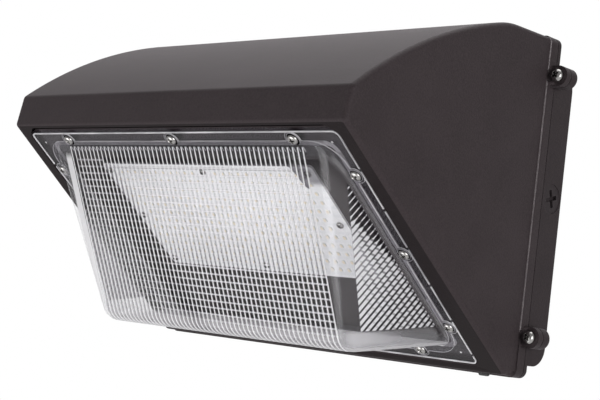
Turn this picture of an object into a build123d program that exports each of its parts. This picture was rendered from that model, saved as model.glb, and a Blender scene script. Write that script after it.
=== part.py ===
from build123d import *
from math import asin, cos, radians, sin, sqrt, tan
import os

# Wall pack light. Millimetres. +X is right as seen from the front, -Y points away from the wall
# towards the viewer, +Z is up. The origin is on the wall plane, in the middle of the hood's height.

# ---- hood (the door) -------------------------------------------------------------------------
hood_width = 360.0          # across the side faces, at the rear lip
hood_height = 242.0
side_draft = 2.06           # degrees, each side face leans in towards the front
hood_wall = 3.0
lip_depth = 8.3             # band round the rear edge of the hood
lip_proud = 1.1
lip_corner_radius = 6.0
crest_from_wall = 68.5      # where the flat top starts to fall
crest_radius = 70.0
crest_turn = 15.2           # degrees
nose_height = 28.1          # nose's top edge above the lens flange's top edge
nose_ahead = 3.8            # nose's top edge in front of the lens flange's top edge
nose_lean = 9.5             # degrees, the nose face leans forward going down
hood_edge_radius = 4.0

# ---- back box --------------------------------------------------------------------------------
box_flange_thickness = 3.5
box_wall = 3.0
box_top_inset = 21.0        # top of the hood down to the top of the box
box_bottom_inset = 8.2
box_rear_radius = 14.0
door_gap = 0.7              # between the box flange and the hood's rear edge

# ---- sloping opening and the lens flange ---------------------------------------------------------
opening_angle = 37.5        # degrees, slope of the lens flange from horizontal
flange_from_wall = 48.3      # wall plane to the flange's bottom edge
flange_above_bottom = 5.5   # hood's bottom to the flange's bottom edge
frame_side = 13.0           # hood's side face to the flange's edge, at the nose
flange_length = 219.4       # down the slope
flange_thickness = 3.0
flange_corner_radius = 5.0
flange_edge_gap = 1.2       # between the flange's edge and the rebate that it lies in
frame_proud = 1.0           # the hood's frame stands this much above the flange's face
seat_clearance = 0.2        # below the flange, where the gasket holds it off the casting

# ---- lens dome -------------------------------------------------------------------------------
dome_side_inset = 12.2      # flange's side edge to the dome
dome_top_inset = 12.6       # down the slope from the flange's top edge
dome_bottom_inset = 16.4    # up the slope from the flange's bottom edge
dome_front_angle = 27.3     # degrees between the front face and the flange
dome_under_angle = 46.1     # degrees between the underside and the flange
dome_side_draft = 13.5      # degrees
dome_wall = 2.6
dome_edge_radius = 12.0     # front and lower corners
dome_nose_radius = 14.0     # long bottom edge
lens_screw_inset = 7.1
lens_screw_bottom_inset = 8.9
lens_screw_top_corner = 42.2     # flange's side edge to the outer screws of the top row
lens_screw_bottom_corner = 46.8
lens_screw_first = 38.5     # flange's top edge to the first side screw
lens_screws_per_side = 3
lens_screw_last = 37.7      # last side screw to the flange's bottom edge
lens_notch_radius = 6.0     # round notch in the dome wall at each screw
lens_screw_hole_clearance = 0.25
lens_boss_depth = 3.0

# ---- screws ----------------------------------------------------------------------------------
lens_screw_diameter = 4.0
lens_screw_head = 8.0
lens_screw_head_height = 2.7
lens_screw_length = 9.0
door_screw_diameter = 5.0
door_screw_head = 9.5
door_screw_head_height = 4.3
door_screw_neck = 3.9       # relieved shank that keeps the screw captive
door_screw_engagement = 7.0
door_screw_clearance = 0.35
small_screw_diameter = 3.0
small_screw_head = 5.6
small_screw_head_height = 2.0
small_screw_into_metal = 6.0
thread_clearance = 0.05     # radial, every fixed screw in its hole
hole_clearance = 0.2        # radial, in the thin piece that a small screw holds down
hole_bottom_gap = 0.6       # below the tip of a screw in a blind hole
slot_width_share = 0.13     # cross recess, as a share of the screw's head
slot_depth_share = 0.55     # and of the head's height
head_round_share = 0.45
small_slot_share = 0.62
door_slot_share = 0.55

# ---- gaskets ---------------------------------------------------------------------------------
gasket_width = 4.0
gasket_groove_depth = 2.6
gasket_side_clearance = 0.1
lens_gasket_inset = 13.5    # flange edge to the gasket's middle line
lens_gasket_corner = 8.0
door_gasket_inset = 6.0     # lip edge to the gasket's middle line
door_gasket_free = 0.2      # left between the gasket and the box flange
rim_width = 11.5            # rear rim of the hood that carries the door gasket
rim_depth = 6.0

# ---- light source ----------------------------------------------------------------------------
pocket_inset_side = 18.2    # flange edge to the pocket's wall
pocket_inset_top = 17.0
pocket_corner_radius = 14.0
floor_below_flange = 7.5    # flange face down to the floor that the board lies on
floor_thickness = 3.0
board_width = 220.0
board_length = 109.0
board_top_inset = 37.0      # flange's top edge down the slope to the board
board_thickness = 1.6
chip_columns = 26
chip_rows = 12
chip_pitch_across = 8.0
chip_pitch_down = 8.4
chip_width = 3.5
chip_length = 2.8
chip_height = 0.7
board_screw_edge = 6.5
fin_count = 15
fin_pitch = 12.0
fin_thickness = 2.0
fin_height = 12.0
fin_length = 100.0
board_boss_depth = 5.0
board_boss_radius = 3.6
board_corner_radius = 3.0

# ---- driver ----------------------------------------------------------------------------------
driver_length = 172.0
driver_width = 62.0
driver_height = 36.0
driver_plate_ear = 14.0     # plate beyond each end of the driver
driver_plate_width = 66.0
driver_plate_thickness = 2.0
driver_post_diameter = 10.0
driver_post_height = 14.0
driver_post_edge = 8.0
driver_plate_corner = 4.0
driver_case_edge = 2.5
driver_screw_reach = 7.0    # below the plate, into the post
driver_post_hole = 9.0
lead_diameter = 2.4
lead_spacing = 5.0
lead_bend_radius = 10.0
lead_clear_of_plate = 4.0   # plate's end to the leads' middle line
lead_offset = 12.5          # driver's middle to the leads, down the slope
grommet_radius = 6.0
grommet_flange_radius = 8.0
grommet_flange_thickness = 1.5
grommet_clearance = 0.05
grommet_below_floor = 0.1

# ---- lugs, hinge and drain -------------------------------------------------------------------
lug_radius = 7.5
lug_out = 6.0               # lug axis beyond the lip's side
lug_inset = 28.0            # hood's top or bottom to the middle of a lug
front_lug_length = 5.3
rear_lug_length = 7.5
screw_scallop_clearance = 3.0
hinge_out = 6.5             # hinge axis beyond the lip's side
hinge_radius = 6.0
hinge_pin_diameter = 5.0
hinge_pin_head = 8.0
hinge_pin_head_height = 1.6
hinge_running_clearance = 0.05
hinge_ear_height = 6.0
hinge_knuckle_height = 10.0
hinge_end_gap = 0.4
hinge_clip_thickness = 0.8
hinge_clip_width = 1.5
hinge_clip_mouth = 3.5
hinge_pin_tail = 1.2        # pin left below its clip
hinge_clip_bite = 0.6       # how deep the clip's groove goes into the pin
drain_side_inset = 23.0
drain_from_wall = 36.6
drain_stem_diameter = 5.0
drain_head_diameter = 8.0
drain_head_height = 2.4
drain_head_round = 1.4

# ---- entries, holes and fittings of the back box -----------------------------------------------
conduit_radius = 10.5       # half-inch trade size, threaded
conduit_front_wall = 0.9    # metal left in front of the entry, and behind it
conduit_rear_wall = 1.6
conduit_height = 7.0
conduit_boss_depth = 15.0
conduit_boss_half = 15.0
conduit_plug_length = 12.0
conduit_plug_recess = 0.4
conduit_plug_clearance = 0.1
plug_slot_length = 13.0
plug_slot_width = 3.0
plug_slot_depth = 2.6
plug_slot_turn = 17.0
wall_hole_radius = 3.5
wall_hole_spacing_x = 260.0
wall_hole_spacing_z = 140.0
wall_pattern_height = 0.0
junction_hole_radius = 2.4
junction_hole_spacing = 88.9
rear_entry_radius = 11.1
terminal_x = -90.0
terminal_length = 44.0
terminal_width = 22.0
terminal_height = 14.0
terminal_poles = 3
terminal_pitch = 12.0
terminal_foot_inset = 4.0
terminal_foot_thickness = 2.0
terminal_mouth_width = 8.0
terminal_mouth_share = 0.2  # how far each wire mouth reaches in, as a share of the width
ground_x = 90.0
ground_boss_diameter = 10.0
ground_boss_height = 5.0
ground_washer_thickness = 1.0

# ---- cutting and joining ------------------------------------------------------------------------
overcut = 1.0               # a cutter reaches this far past the face that it cuts
overlap = 0.5               # a rib or boss starts this far inside the wall that it grows from
far_reach = 60.0            # long enough to pass through anything above the slope
same_place = 0.001          # two edges nearer than this are the same one

# ---- worked out from the sizes above -----------------------------------------------------------
top = hood_height / 2
bottom = -hood_height / 2
half_width = hood_width / 2
box_top = top - box_top_inset
box_bottom = bottom + box_bottom_inset
lug_height = top - lug_inset
drain_x = half_width - drain_side_inset
lip_half_width = half_width + lip_proud
lip_half_height = top + lip_proud
box_depth = 2 * conduit_radius + conduit_front_wall + conduit_rear_wall
box_front = -box_depth
conduit_y = box_front + conduit_front_wall + conduit_radius
hood_rear = box_front - door_gap
lip_front = hood_rear - lip_depth
draft_slope = tan(radians(side_draft))
slope_sin = sin(radians(opening_angle))
slope_cos = cos(radians(opening_angle))
floor_out = -floor_below_flange
floor_in = floor_out - floor_thickness
seat = -flange_thickness - seat_clearance
lens_groove_floor = seat - gasket_groove_depth
door_groove_floor = hood_rear - gasket_groove_depth
board_bottom = floor_out
board_face = floor_out + board_thickness
lug_x = lip_half_width + lug_out
hinge_x = -lip_half_width - hinge_out
hinge_y = box_front - door_gap / 2
front_lug_face = hood_rear - front_lug_length
flange_top_from_wall = flange_from_wall + flange_length * slope_cos
flange_top_height = bottom + flange_above_bottom + flange_length * slope_sin
wall_to_nose = flange_top_from_wall + nose_ahead
nose_half_width = half_width - draft_slope * (flange_top_from_wall + lip_front)
flange_width = 2 * (nose_half_width - frame_side)
dome_width = flange_width - 2 * dome_side_inset
lens_screw_row_half = flange_width / 2 - lens_screw_top_corner
lens_screw_bottom_half = flange_width / 2 - lens_screw_bottom_corner
lens_screw_pitch = (flange_length - lens_screw_first - lens_screw_last) / (lens_screws_per_side - 1)
slope = Plane(
    origin=(0, -flange_top_from_wall, flange_top_height),
    x_dir=(1, 0, 0),
    z_dir=(0, -slope_sin, -slope_cos),
)
driver_middle = board_top_inset + board_length / 2
driver_plate_length = driver_length + 2 * driver_plate_ear
ear_offset = (hinge_knuckle_height + hinge_ear_height) / 2 + hinge_end_gap
hinge_half_height = hinge_knuckle_height / 2 + hinge_end_gap + hinge_ear_height
terminal_foot_x = terminal_length / 2 - terminal_foot_inset
terminal_face = -box_wall - terminal_height
terminal_foot = -box_wall - terminal_foot_thickness
terminal_pole_x = [
    terminal_x + (index - (terminal_poles - 1) / 2) * terminal_pitch for index in range(terminal_poles)
]


def on_slope(x, down, out):
    """Place on the sloping opening: across, down the slope, and out from the flange's face."""
    return slope.location * Pos(x, -down, out)


def slope_slab(width, start, end, low, high, radius):
    """A flat block on the slope with rounded corners, from start to end down the slope."""
    outline = RectangleRounded(width, end - start, radius)
    return on_slope(0, (start + end) / 2, low) * extrude(outline, high - low)


def frame_slab(half_x, half_z, radius, front, rear):
    """A block with rounded corners that stands parallel to the wall."""
    outline = RectangleRounded(2 * half_x, 2 * half_z, radius)
    return Plane(origin=(0, rear, 0), x_dir=(1, 0, 0), z_dir=(0, -1, 0)).location * extrude(
        outline, rear - front
    )


def along_y(x, rear, z, radius, length):
    """A cylinder that runs from rear towards the viewer."""
    plane = Plane(origin=(x, rear, z), x_dir=(1, 0, 0), z_dir=(0, -1, 0))
    return plane.location * Cylinder(radius, length, align=(Align.CENTER, Align.CENTER, Align.MIN))


def block(x0, x1, y0, y1, z0, z1):
    middle = Pos((x0 + x1) / 2, (y0 + y1) / 2, (z0 + z1) / 2)
    return middle * Box(abs(x1 - x0), abs(y1 - y0), abs(z1 - z0))


def slope_height(y, z):
    """How far a point of the side view lies out from the lens flange's face."""
    return -(y + flange_top_from_wall) * slope_sin - (z - flange_top_height) * slope_cos


def meet_slope(point, direction, height):
    """Where a line of the side view reaches a height above the flange's face."""
    rate = -direction[0] * slope_sin - direction[1] * slope_cos
    step = (height - slope_height(*point)) / rate
    return point[0] + step * direction[0], point[1] + step * direction[1]


def pan_screw(head, head_height, shank, length, slot_share):
    """A pan-head screw with a cross recess: head above its seat, shank below."""
    body = Cylinder(head / 2, head_height, align=(Align.CENTER, Align.CENTER, Align.MIN))
    body = fillet(body.edges().group_by(Axis.Z)[-1], head_height * head_round_share)
    body += Cylinder(shank / 2, length, align=(Align.CENTER, Align.CENTER, Align.MAX))
    slot_length = head * slot_share
    slot_width = head * slot_width_share
    slot_depth = head_height * slot_depth_share
    for turn in (0, 90):
        arm = Box(slot_length, slot_width, slot_depth, align=(Align.CENTER, Align.CENTER, Align.MAX))
        body -= Rot(0, 0, turn) * Pos(0, 0, head_height) * arm
    return body


def screw_hole(radius, depth, open_above):
    """A blind hole for a screw, from its mouth's height down."""
    hole = Cylinder(radius, depth + open_above, align=(Align.CENTER, Align.CENTER, Align.MAX))
    return Pos(0, 0, open_above) * hole


# ---- side view of the hood --------------------------------------------------------------------
crest_centre = (-crest_from_wall, top - crest_radius)
turn_in = radians(crest_turn)
crest_end = (
    crest_centre[0] - crest_radius * sin(turn_in),
    crest_centre[1] + crest_radius * cos(turn_in),
)
nose_top = (-wall_to_nose, flange_top_height + nose_height)
to_nose = (nose_top[0] - crest_end[0], nose_top[1] - crest_end[1])
nose_fall = to_nose[0] * sin(turn_in) - to_nose[1] * cos(turn_in)
sweep_radius = (to_nose[0] ** 2 + to_nose[1] ** 2) / (2 * nose_fall)
sweep_centre = (
    crest_end[0] + sweep_radius * sin(turn_in),
    crest_end[1] - sweep_radius * cos(turn_in),
)
nose_down = (-sin(radians(nose_lean)), -cos(radians(nose_lean)))
nose_out = (-cos(radians(nose_lean)), sin(radians(nose_lean)))


def sweep_point(angle, radius, centre):
    return centre[0] - radius * sin(angle), centre[1] + radius * cos(angle)


def hood_outline(inset, slope_level):
    """The hood's side view, set in by a wall, and closed along the slope at one level."""
    crest = crest_radius - inset
    sweep = sweep_radius - inset
    start = (nose_top[0] - inset * nose_out[0], nose_top[1] - inset * nose_out[1])
    to_centre = (start[0] - sweep_centre[0], start[1] - sweep_centre[1])
    half_b = to_centre[0] * nose_down[0] + to_centre[1] * nose_down[1]
    rest = to_centre[0] ** 2 + to_centre[1] ** 2 - sweep**2
    step = -half_b - sqrt(half_b**2 - rest)
    corner = (start[0] + step * nose_down[0], start[1] + step * nose_down[1])
    last_angle = asin((sweep_centre[0] - corner[0]) / sweep)
    lower = meet_slope(corner, nose_down, slope_level)
    floor_level = bottom + inset
    foot = meet_slope((0, floor_level), (-1, 0), slope_level)
    edges = [
        Line((hood_rear, top - inset), (crest_centre[0], top - inset)),
        ThreePointArc(
            (crest_centre[0], top - inset),
            sweep_point(turn_in / 2, crest, crest_centre),
            sweep_point(turn_in, crest, crest_centre),
        ),
        ThreePointArc(
            sweep_point(turn_in, sweep, sweep_centre),
            sweep_point((turn_in + last_angle) / 2, sweep, sweep_centre),
            corner,
        ),
        Line(corner, lower),
        Line(lower, foot),
        Line(foot, (hood_rear, floor_level)),
        Line((hood_rear, floor_level), (hood_rear, top - inset)),
    ]
    return make_face(Wire([edge.edge() for edge in edges]))


def hood_form(inset, slope_level):
    """The hood's outer or inner form: the side view, cut to the drafted width."""
    solid = extrude(Plane.YZ * hood_outline(inset, slope_level), half_width * 2, both=True)
    far = lip_front - 2 * wall_to_nose
    near_half = half_width - inset
    far_half = near_half - draft_slope * (lip_front - far)
    plan = Polyline(
        (-near_half, 1),
        (-near_half, lip_front),
        (-far_half, far),
        (far_half, far),
        (near_half, lip_front),
        (near_half, 1),
        close=True,
    )
    return solid & extrude(make_face(plan), hood_height * 2, both=True)


def rounded_hood():
    """The outer form with its long edges rounded."""
    solid = hood_form(0, frame_proud)
    lower = meet_slope(nose_top, nose_down, frame_proud)
    foot = meet_slope((0, bottom), (-1, 0), frame_proud)
    cross = [nose_top, lower, foot]

    def wanted(edge):
        centre = edge.center()
        if centre.Y > hood_rear - same_place:
            return False
        if abs(centre.X) > hood_wall:
            return True
        return any(abs(centre.Y - y) + abs(centre.Z - z) < same_place for y, z in cross)

    return fillet([edge for edge in solid.edges() if wanted(edge)], hood_edge_radius)


# ---- screw places on the lens flange -------------------------------------------------------------
side_x = flange_width / 2 - lens_screw_inset
lens_screw_places = [(x, lens_screw_inset) for x in (-lens_screw_row_half, 0, lens_screw_row_half)]
lens_screw_places += [
    (x, lens_screw_first + index * lens_screw_pitch) for x in (-side_x, side_x) for index in range(lens_screws_per_side)
]
lens_screw_places += [
    (x, flange_length - lens_screw_bottom_inset)
    for x in (-lens_screw_bottom_half, 0, lens_screw_bottom_half)
]
board_edge_x = board_width / 2 - board_screw_edge
board_low = board_top_inset + board_length
board_screw_places = [
    (x, down)
    for x in (-board_edge_x, 0, board_edge_x)
    for down in (board_top_inset + board_screw_edge, driver_middle, board_low - board_screw_edge)
    if (x, down) != (0, driver_middle)
]
post_x = driver_plate_length / 2 - driver_post_edge
post_down = driver_plate_width / 2 - driver_post_edge
post_places = [(x, driver_middle + down) for x in (-post_x, post_x) for down in (-post_down, post_down)]
post_top = floor_in - driver_post_height
grommet_x = -(driver_plate_length / 2 + lead_clear_of_plate)
grommet_down = driver_middle + lead_offset


def ring(width, start, end, low, high, radius, thickness):
    """A closed band on the slope, given by its middle line."""
    half = thickness / 2
    outer = slope_slab(width + thickness, start - half, end + half, low, high, radius + half)
    inner = slope_slab(
        width - thickness, start + half, end - half, low - overcut, high + overcut, radius - half
    )
    return outer - inner


def lens_gasket_ring(thickness, low, high):
    width = flange_width - 2 * lens_gasket_inset
    start = lens_gasket_inset
    end = flange_length - lens_gasket_inset
    return ring(width, start, end, low, high, lens_gasket_corner, thickness)


def door_gasket_ring(thickness, front, rear):
    half = thickness / 2
    middle_x = lip_half_width - door_gasket_inset
    middle_z = lip_half_height - door_gasket_inset
    radius = lip_corner_radius
    outer = frame_slab(middle_x + half, middle_z + half, radius, front, rear)
    inner = frame_slab(
        middle_x - half, middle_z - half, radius - half, front - overcut, rear + overcut
    )
    return outer - inner


def inward_cylinder(x, down, radius, length):
    """A round boss on the inner side of the floor."""
    boss = Cylinder(radius, length, align=(Align.CENTER, Align.CENTER, Align.MAX))
    return on_slope(x, down, floor_in) * boss


# ---- front housing ------------------------------------------------------------------------------
def make_front_housing():
    solid = rounded_hood()
    lip = frame_slab(lip_half_width, lip_half_height, lip_corner_radius, lip_front, hood_rear)
    solid += lip
    rim = lip - frame_slab(
        lip_half_width - rim_width,
        lip_half_height - rim_width,
        lip_corner_radius / 2,
        lip_front - overcut,
        hood_rear + overcut,
    )
    rim &= block(-hood_width, hood_width, hood_rear, hood_rear - rim_depth, -hood_height, hood_height)
    cavity = hood_form(hood_wall, floor_in)
    solid -= cavity - rim

    # rebate for the lens flange, then the pocket that the board lies in
    reach = flange_edge_gap
    solid -= slope_slab(
        flange_width + 2 * reach,
        -reach,
        flange_length + reach,
        seat,
        far_reach,
        flange_corner_radius + reach,
    )
    solid -= slope_slab(
        flange_width - 2 * pocket_inset_side,
        pocket_inset_top,
        flange_length - pocket_inset_top,
        floor_out,
        seat + overcut,
        pocket_corner_radius,
    )
    groove = gasket_width + 2 * gasket_side_clearance
    solid -= lens_gasket_ring(groove, lens_groove_floor, seat + overcut)

    # cooling fins, bosses and driver posts inside
    fins = [
        on_slope((index - (fin_count - 1) / 2) * fin_pitch, driver_middle, floor_in + overlap)
        * Box(
            fin_thickness,
            fin_length,
            fin_height + overlap,
            align=(Align.CENTER, Align.CENTER, Align.MAX),
        )
        for index in range(fin_count)
    ]
    bosses = [
        inward_cylinder(x, down, lens_screw_diameter, lens_boss_depth) for x, down in lens_screw_places
    ]
    bosses += [
        inward_cylinder(x, down, board_boss_radius, board_boss_depth)
        for x, down in board_screw_places
    ]
    bosses += [
        inward_cylinder(x, down, driver_post_diameter / 2, driver_post_height) for x, down in post_places
    ]
    inside = hood_form(hood_wall / 2, floor_in + overlap)
    internals = Part() + fins + bosses
    solid += internals & inside

    for x, down in lens_screw_places:
        hole = screw_hole(
            lens_screw_diameter / 2 + thread_clearance,
            lens_screw_length + hole_bottom_gap + seat,
            overcut,
        )
        solid -= on_slope(x, down, seat) * hole
    small_radius = small_screw_diameter / 2 + thread_clearance
    for x, down in board_screw_places:
        depth = small_screw_into_metal + hole_bottom_gap
        solid -= on_slope(x, down, floor_out) * screw_hole(small_radius, depth, overcut)
    for x, down in post_places:
        hole = Cylinder(small_radius, driver_post_hole, align=(Align.CENTER, Align.CENTER, Align.MIN))
        solid -= on_slope(x, down, post_top) * hole
    solid -= on_slope(grommet_x, grommet_down, floor_in) * Cylinder(
        grommet_radius + grommet_clearance, 4 * floor_thickness
    )

    # groove for the door gasket, drain hole
    solid -= door_gasket_ring(groove, door_groove_floor, hood_rear + overcut)
    solid -= Pos(drain_x, -drain_from_wall, bottom) * Cylinder(
        drain_stem_diameter / 2 + thread_clearance, far_reach
    )

    # lugs for the captive screws, on the right
    for z in (-lug_height, lug_height):
        lug = along_y(lug_x, hood_rear, z, lug_radius, front_lug_length)
        lug += block(
            half_width - hood_wall / 2,
            lug_x,
            hood_rear,
            front_lug_face,
            z - lug_radius,
            z + lug_radius,
        )
        solid += lug
        scallop_radius = door_screw_head / 2 + screw_scallop_clearance
        scallop_length = front_lug_face - lip_front + overcut
        solid -= along_y(lug_x, front_lug_face, z, scallop_radius, scallop_length)
        hole_radius = door_screw_diameter / 2 + door_screw_clearance
        solid -= along_y(lug_x, hood_rear + overcut, z, hole_radius, front_lug_length + 2 * overcut)

    # hinge knuckles, on the left
    for z in (-lug_height, lug_height):
        knuckle = Pos(hinge_x, hinge_y, z) * Cylinder(hinge_radius, hinge_knuckle_height)
        knuckle += block(
            hinge_x,
            -half_width + hood_wall / 2,
            hood_rear,
            hinge_y - hinge_radius,
            z - hinge_knuckle_height / 2,
            z + hinge_knuckle_height / 2,
        )
        solid += knuckle
        solid -= Pos(hinge_x, hinge_y, z) * Cylinder(
            hinge_pin_diameter / 2 + hinge_running_clearance, hinge_knuckle_height + 2 * overcut
        )
    return solid


# ---- back box -----------------------------------------------------------------------------------
def box_side_view(inset, rear):
    """The box behind its flange, from the side: rear corners rounded."""
    radius = box_rear_radius - inset
    low = box_bottom + inset
    high = box_top - inset
    corner = radius * (1 - cos(radians(45)))
    edges = [
        Line((box_front, high), (rear - radius, high)),
        ThreePointArc((rear - radius, high), (rear - corner, high - corner), (rear, high - radius)),
        Line((rear, high - radius), (rear, low + radius)),
        ThreePointArc((rear, low + radius), (rear - corner, low + corner), (rear - radius, low)),
        Line((rear - radius, low), (box_front, low)),
        Line((box_front, low), (box_front, high)),
    ]
    return make_face(Wire([edge.edge() for edge in edges]))


def conduit_cylinder(side, radius, near, far):
    """A cylinder on the axis of a side entry, from near to far out from the middle of the box."""
    middle = Pos(side * (near + far) / 2, conduit_y, conduit_height)
    return middle * Rot(0, 90, 0) * Cylinder(radius, far - near)


def make_back_box():
    flange_rear = box_front + box_flange_thickness
    solid = frame_slab(lip_half_width, lip_half_height, lip_corner_radius, box_front, flange_rear)
    solid += extrude(Plane.YZ * box_side_view(0, 0), lip_half_width, both=True)
    solid -= extrude(Plane.YZ * box_side_view(box_wall, -box_wall), lip_half_width - box_wall, both=True)

    # threaded entries for conduit in the two sides, each through a thick boss
    side_inner = lip_half_width - conduit_boss_depth
    for side in (-1, 1):
        solid += block(
            side * side_inner,
            side * lip_half_width,
            box_front,
            0,
            conduit_height - conduit_boss_half,
            conduit_height + conduit_boss_half,
        )
        solid -= conduit_cylinder(side, conduit_radius, side_inner, lip_half_width + overcut)

    boss_length = box_wall / 2 + ground_boss_height
    boss_radius = ground_boss_diameter / 2
    solid += along_y(ground_x, -box_wall / 2, wall_pattern_height, boss_radius, boss_length)

    # holes in the rear wall
    wall_cut = box_wall + 2 * overcut
    for x in (-wall_hole_spacing_x / 2, wall_hole_spacing_x / 2):
        for z in (-wall_hole_spacing_z / 2, wall_hole_spacing_z / 2):
            solid -= along_y(x, overcut, wall_pattern_height + z, wall_hole_radius, wall_cut)
    for x in (-junction_hole_spacing / 2, junction_hole_spacing / 2):
        solid -= along_y(x, overcut, wall_pattern_height, junction_hole_radius, wall_cut)
    solid -= along_y(0, overcut, wall_pattern_height, rear_entry_radius, wall_cut)
    small_radius = small_screw_diameter / 2 + thread_clearance
    ground_hole = ground_boss_height + overcut
    solid -= along_y(ground_x, -box_wall, wall_pattern_height, small_radius, ground_hole)
    for x in (-terminal_foot_x, terminal_foot_x):
        solid -= along_y(terminal_x + x, -box_wall / 3, wall_pattern_height, small_radius, box_wall)

    # lugs for the captive screws on the right, hinge ears on the left
    for z in (-lug_height, lug_height):
        lug = along_y(lug_x, box_front + rear_lug_length, z, lug_radius, rear_lug_length)
        lug += block(
            lip_half_width - box_wall / 2,
            lug_x,
            box_front,
            box_front + rear_lug_length,
            z - lug_radius,
            z + lug_radius,
        )
        solid += lug
        hole_radius = door_screw_diameter / 2 + door_screw_clearance
        solid -= along_y(lug_x, 0, z, hole_radius, box_depth + overcut)
        for side in (-1, 1):
            ear_z = z + side * ear_offset
            ear = Pos(hinge_x, hinge_y, ear_z) * Cylinder(hinge_radius, hinge_ear_height)
            ear += block(
                hinge_x,
                -lip_half_width + box_wall / 2,
                box_front,
                hinge_y + hinge_radius,
                ear_z - hinge_ear_height / 2,
                ear_z + hinge_ear_height / 2,
            )
            solid += ear
            solid -= Pos(hinge_x, hinge_y, ear_z) * Cylinder(
                hinge_pin_diameter / 2 + hinge_running_clearance, hinge_ear_height + 2 * overcut
            )
    return solid


def make_conduit_plug(side):
    outer_end = lip_half_width - conduit_plug_recess
    plug = conduit_cylinder(
        side, conduit_radius - conduit_plug_clearance, outer_end - conduit_plug_length, outer_end
    )
    for turn in (0, 90):
        arm = Box(2 * plug_slot_depth, plug_slot_width, plug_slot_length)
        place = Pos(side * outer_end, conduit_y, conduit_height)
        plug -= place * Rot(side * (plug_slot_turn + turn), 0, 0) * arm
    return plug


def make_terminal_block():
    solid = block(
        terminal_x - terminal_length / 2,
        terminal_x + terminal_length / 2,
        -box_wall - terminal_height,
        -box_wall,
        wall_pattern_height - terminal_width / 2,
        wall_pattern_height + terminal_width / 2,
    )
    radius = small_screw_diameter / 2 + thread_clearance
    head_hole = small_screw_head / 2 + hole_clearance
    for x in terminal_pole_x:
        for side in (-1, 1):
            z = wall_pattern_height + side * terminal_width / 2
            solid -= block(
                x - terminal_mouth_width / 2,
                x + terminal_mouth_width / 2,
                -box_wall - terminal_height / 2,
                -box_wall - terminal_foot_thickness,
                z - terminal_width * terminal_mouth_share,
                z + terminal_width * terminal_mouth_share,
            )
        depth = terminal_height / 2 + hole_bottom_gap
        solid -= along_y(x, terminal_face + depth, wall_pattern_height, radius, depth + overcut)
    for x in (-terminal_foot_x, terminal_foot_x):
        through = box_wall + terminal_height
        solid -= along_y(terminal_x + x, 0, wall_pattern_height, radius, through + overcut)
        solid -= along_y(terminal_x + x, terminal_foot, wall_pattern_height, head_hole, terminal_height)
    return solid


def facing_viewer(x, y, z):
    """Place of a screw whose head faces away from the wall."""
    return Plane(origin=(x, y, z), x_dir=(1, 0, 0), z_dir=(0, -1, 0)).location


def small_screw(length):
    return pan_screw(
        small_screw_head, small_screw_head_height, small_screw_diameter, length, small_slot_share
    )


def make_terminal_screws():
    screws = []
    for x in terminal_pole_x:
        place = facing_viewer(x, terminal_face, wall_pattern_height)
        screws.append(place * small_screw(terminal_height / 2))
    for x in (-terminal_foot_x, terminal_foot_x):
        place = facing_viewer(terminal_x + x, terminal_foot, wall_pattern_height)
        screws.append(place * small_screw(terminal_foot_thickness + box_wall / 2))
    return screws


def make_ground_screw():
    y = -box_wall - ground_boss_height - ground_washer_thickness
    return facing_viewer(ground_x, y, wall_pattern_height) * small_screw(ground_boss_height)


def make_ground_washer():
    y = -box_wall - ground_boss_height
    washer = along_y(ground_x, y, wall_pattern_height, ground_boss_diameter / 2, ground_washer_thickness)
    inner = small_screw_diameter / 2 + hole_clearance
    through = ground_washer_thickness + 2 * overcut
    return washer - along_y(ground_x, y + overcut, wall_pattern_height, inner, through)


def make_hinge_pin(z):
    low = -hinge_half_height
    tail = hinge_clip_thickness + hinge_pin_tail
    length = -2 * low + tail
    pin = Pos(0, 0, low - tail) * Cylinder(
        hinge_pin_diameter / 2, length, align=(Align.CENTER, Align.CENTER, Align.MIN)
    )
    head = Cylinder(
        hinge_pin_head / 2, hinge_pin_head_height, align=(Align.CENTER, Align.CENTER, Align.MIN)
    )
    head = fillet(head.edges().group_by(Axis.Z)[-1], hinge_pin_head_height * head_round_share)
    pin += Pos(0, 0, -low) * head
    groove = clip_ring(hinge_pin_diameter, hinge_pin_diameter / 2 - hinge_clip_bite)
    pin -= Pos(0, 0, low - hinge_clip_thickness) * groove
    return Pos(hinge_x, hinge_y, z) * pin


def clip_ring(outer, inner):
    """A flat ring that a hinge pin's clip or its groove is cut from."""
    height = hinge_clip_thickness
    band = Cylinder(outer, height, align=(Align.CENTER, Align.CENTER, Align.MIN))
    return band - Cylinder(inner, 4 * height)


def make_hinge_clips():
    inner = hinge_pin_diameter / 2 - hinge_clip_bite + hinge_running_clearance
    ring_solid = clip_ring(hinge_pin_diameter / 2 + hinge_clip_width, inner)
    mouth = Box(hinge_pin_diameter, hinge_clip_mouth, 4 * hinge_clip_thickness)
    ring_solid -= Pos(-hinge_pin_diameter / 2 - hinge_clip_width, 0, 0) * mouth
    drop = hinge_half_height + hinge_clip_thickness
    places = [Pos(hinge_x, hinge_y, z - drop) for z in (-lug_height, lug_height)]
    return [place * ring_solid for place in places]


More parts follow.
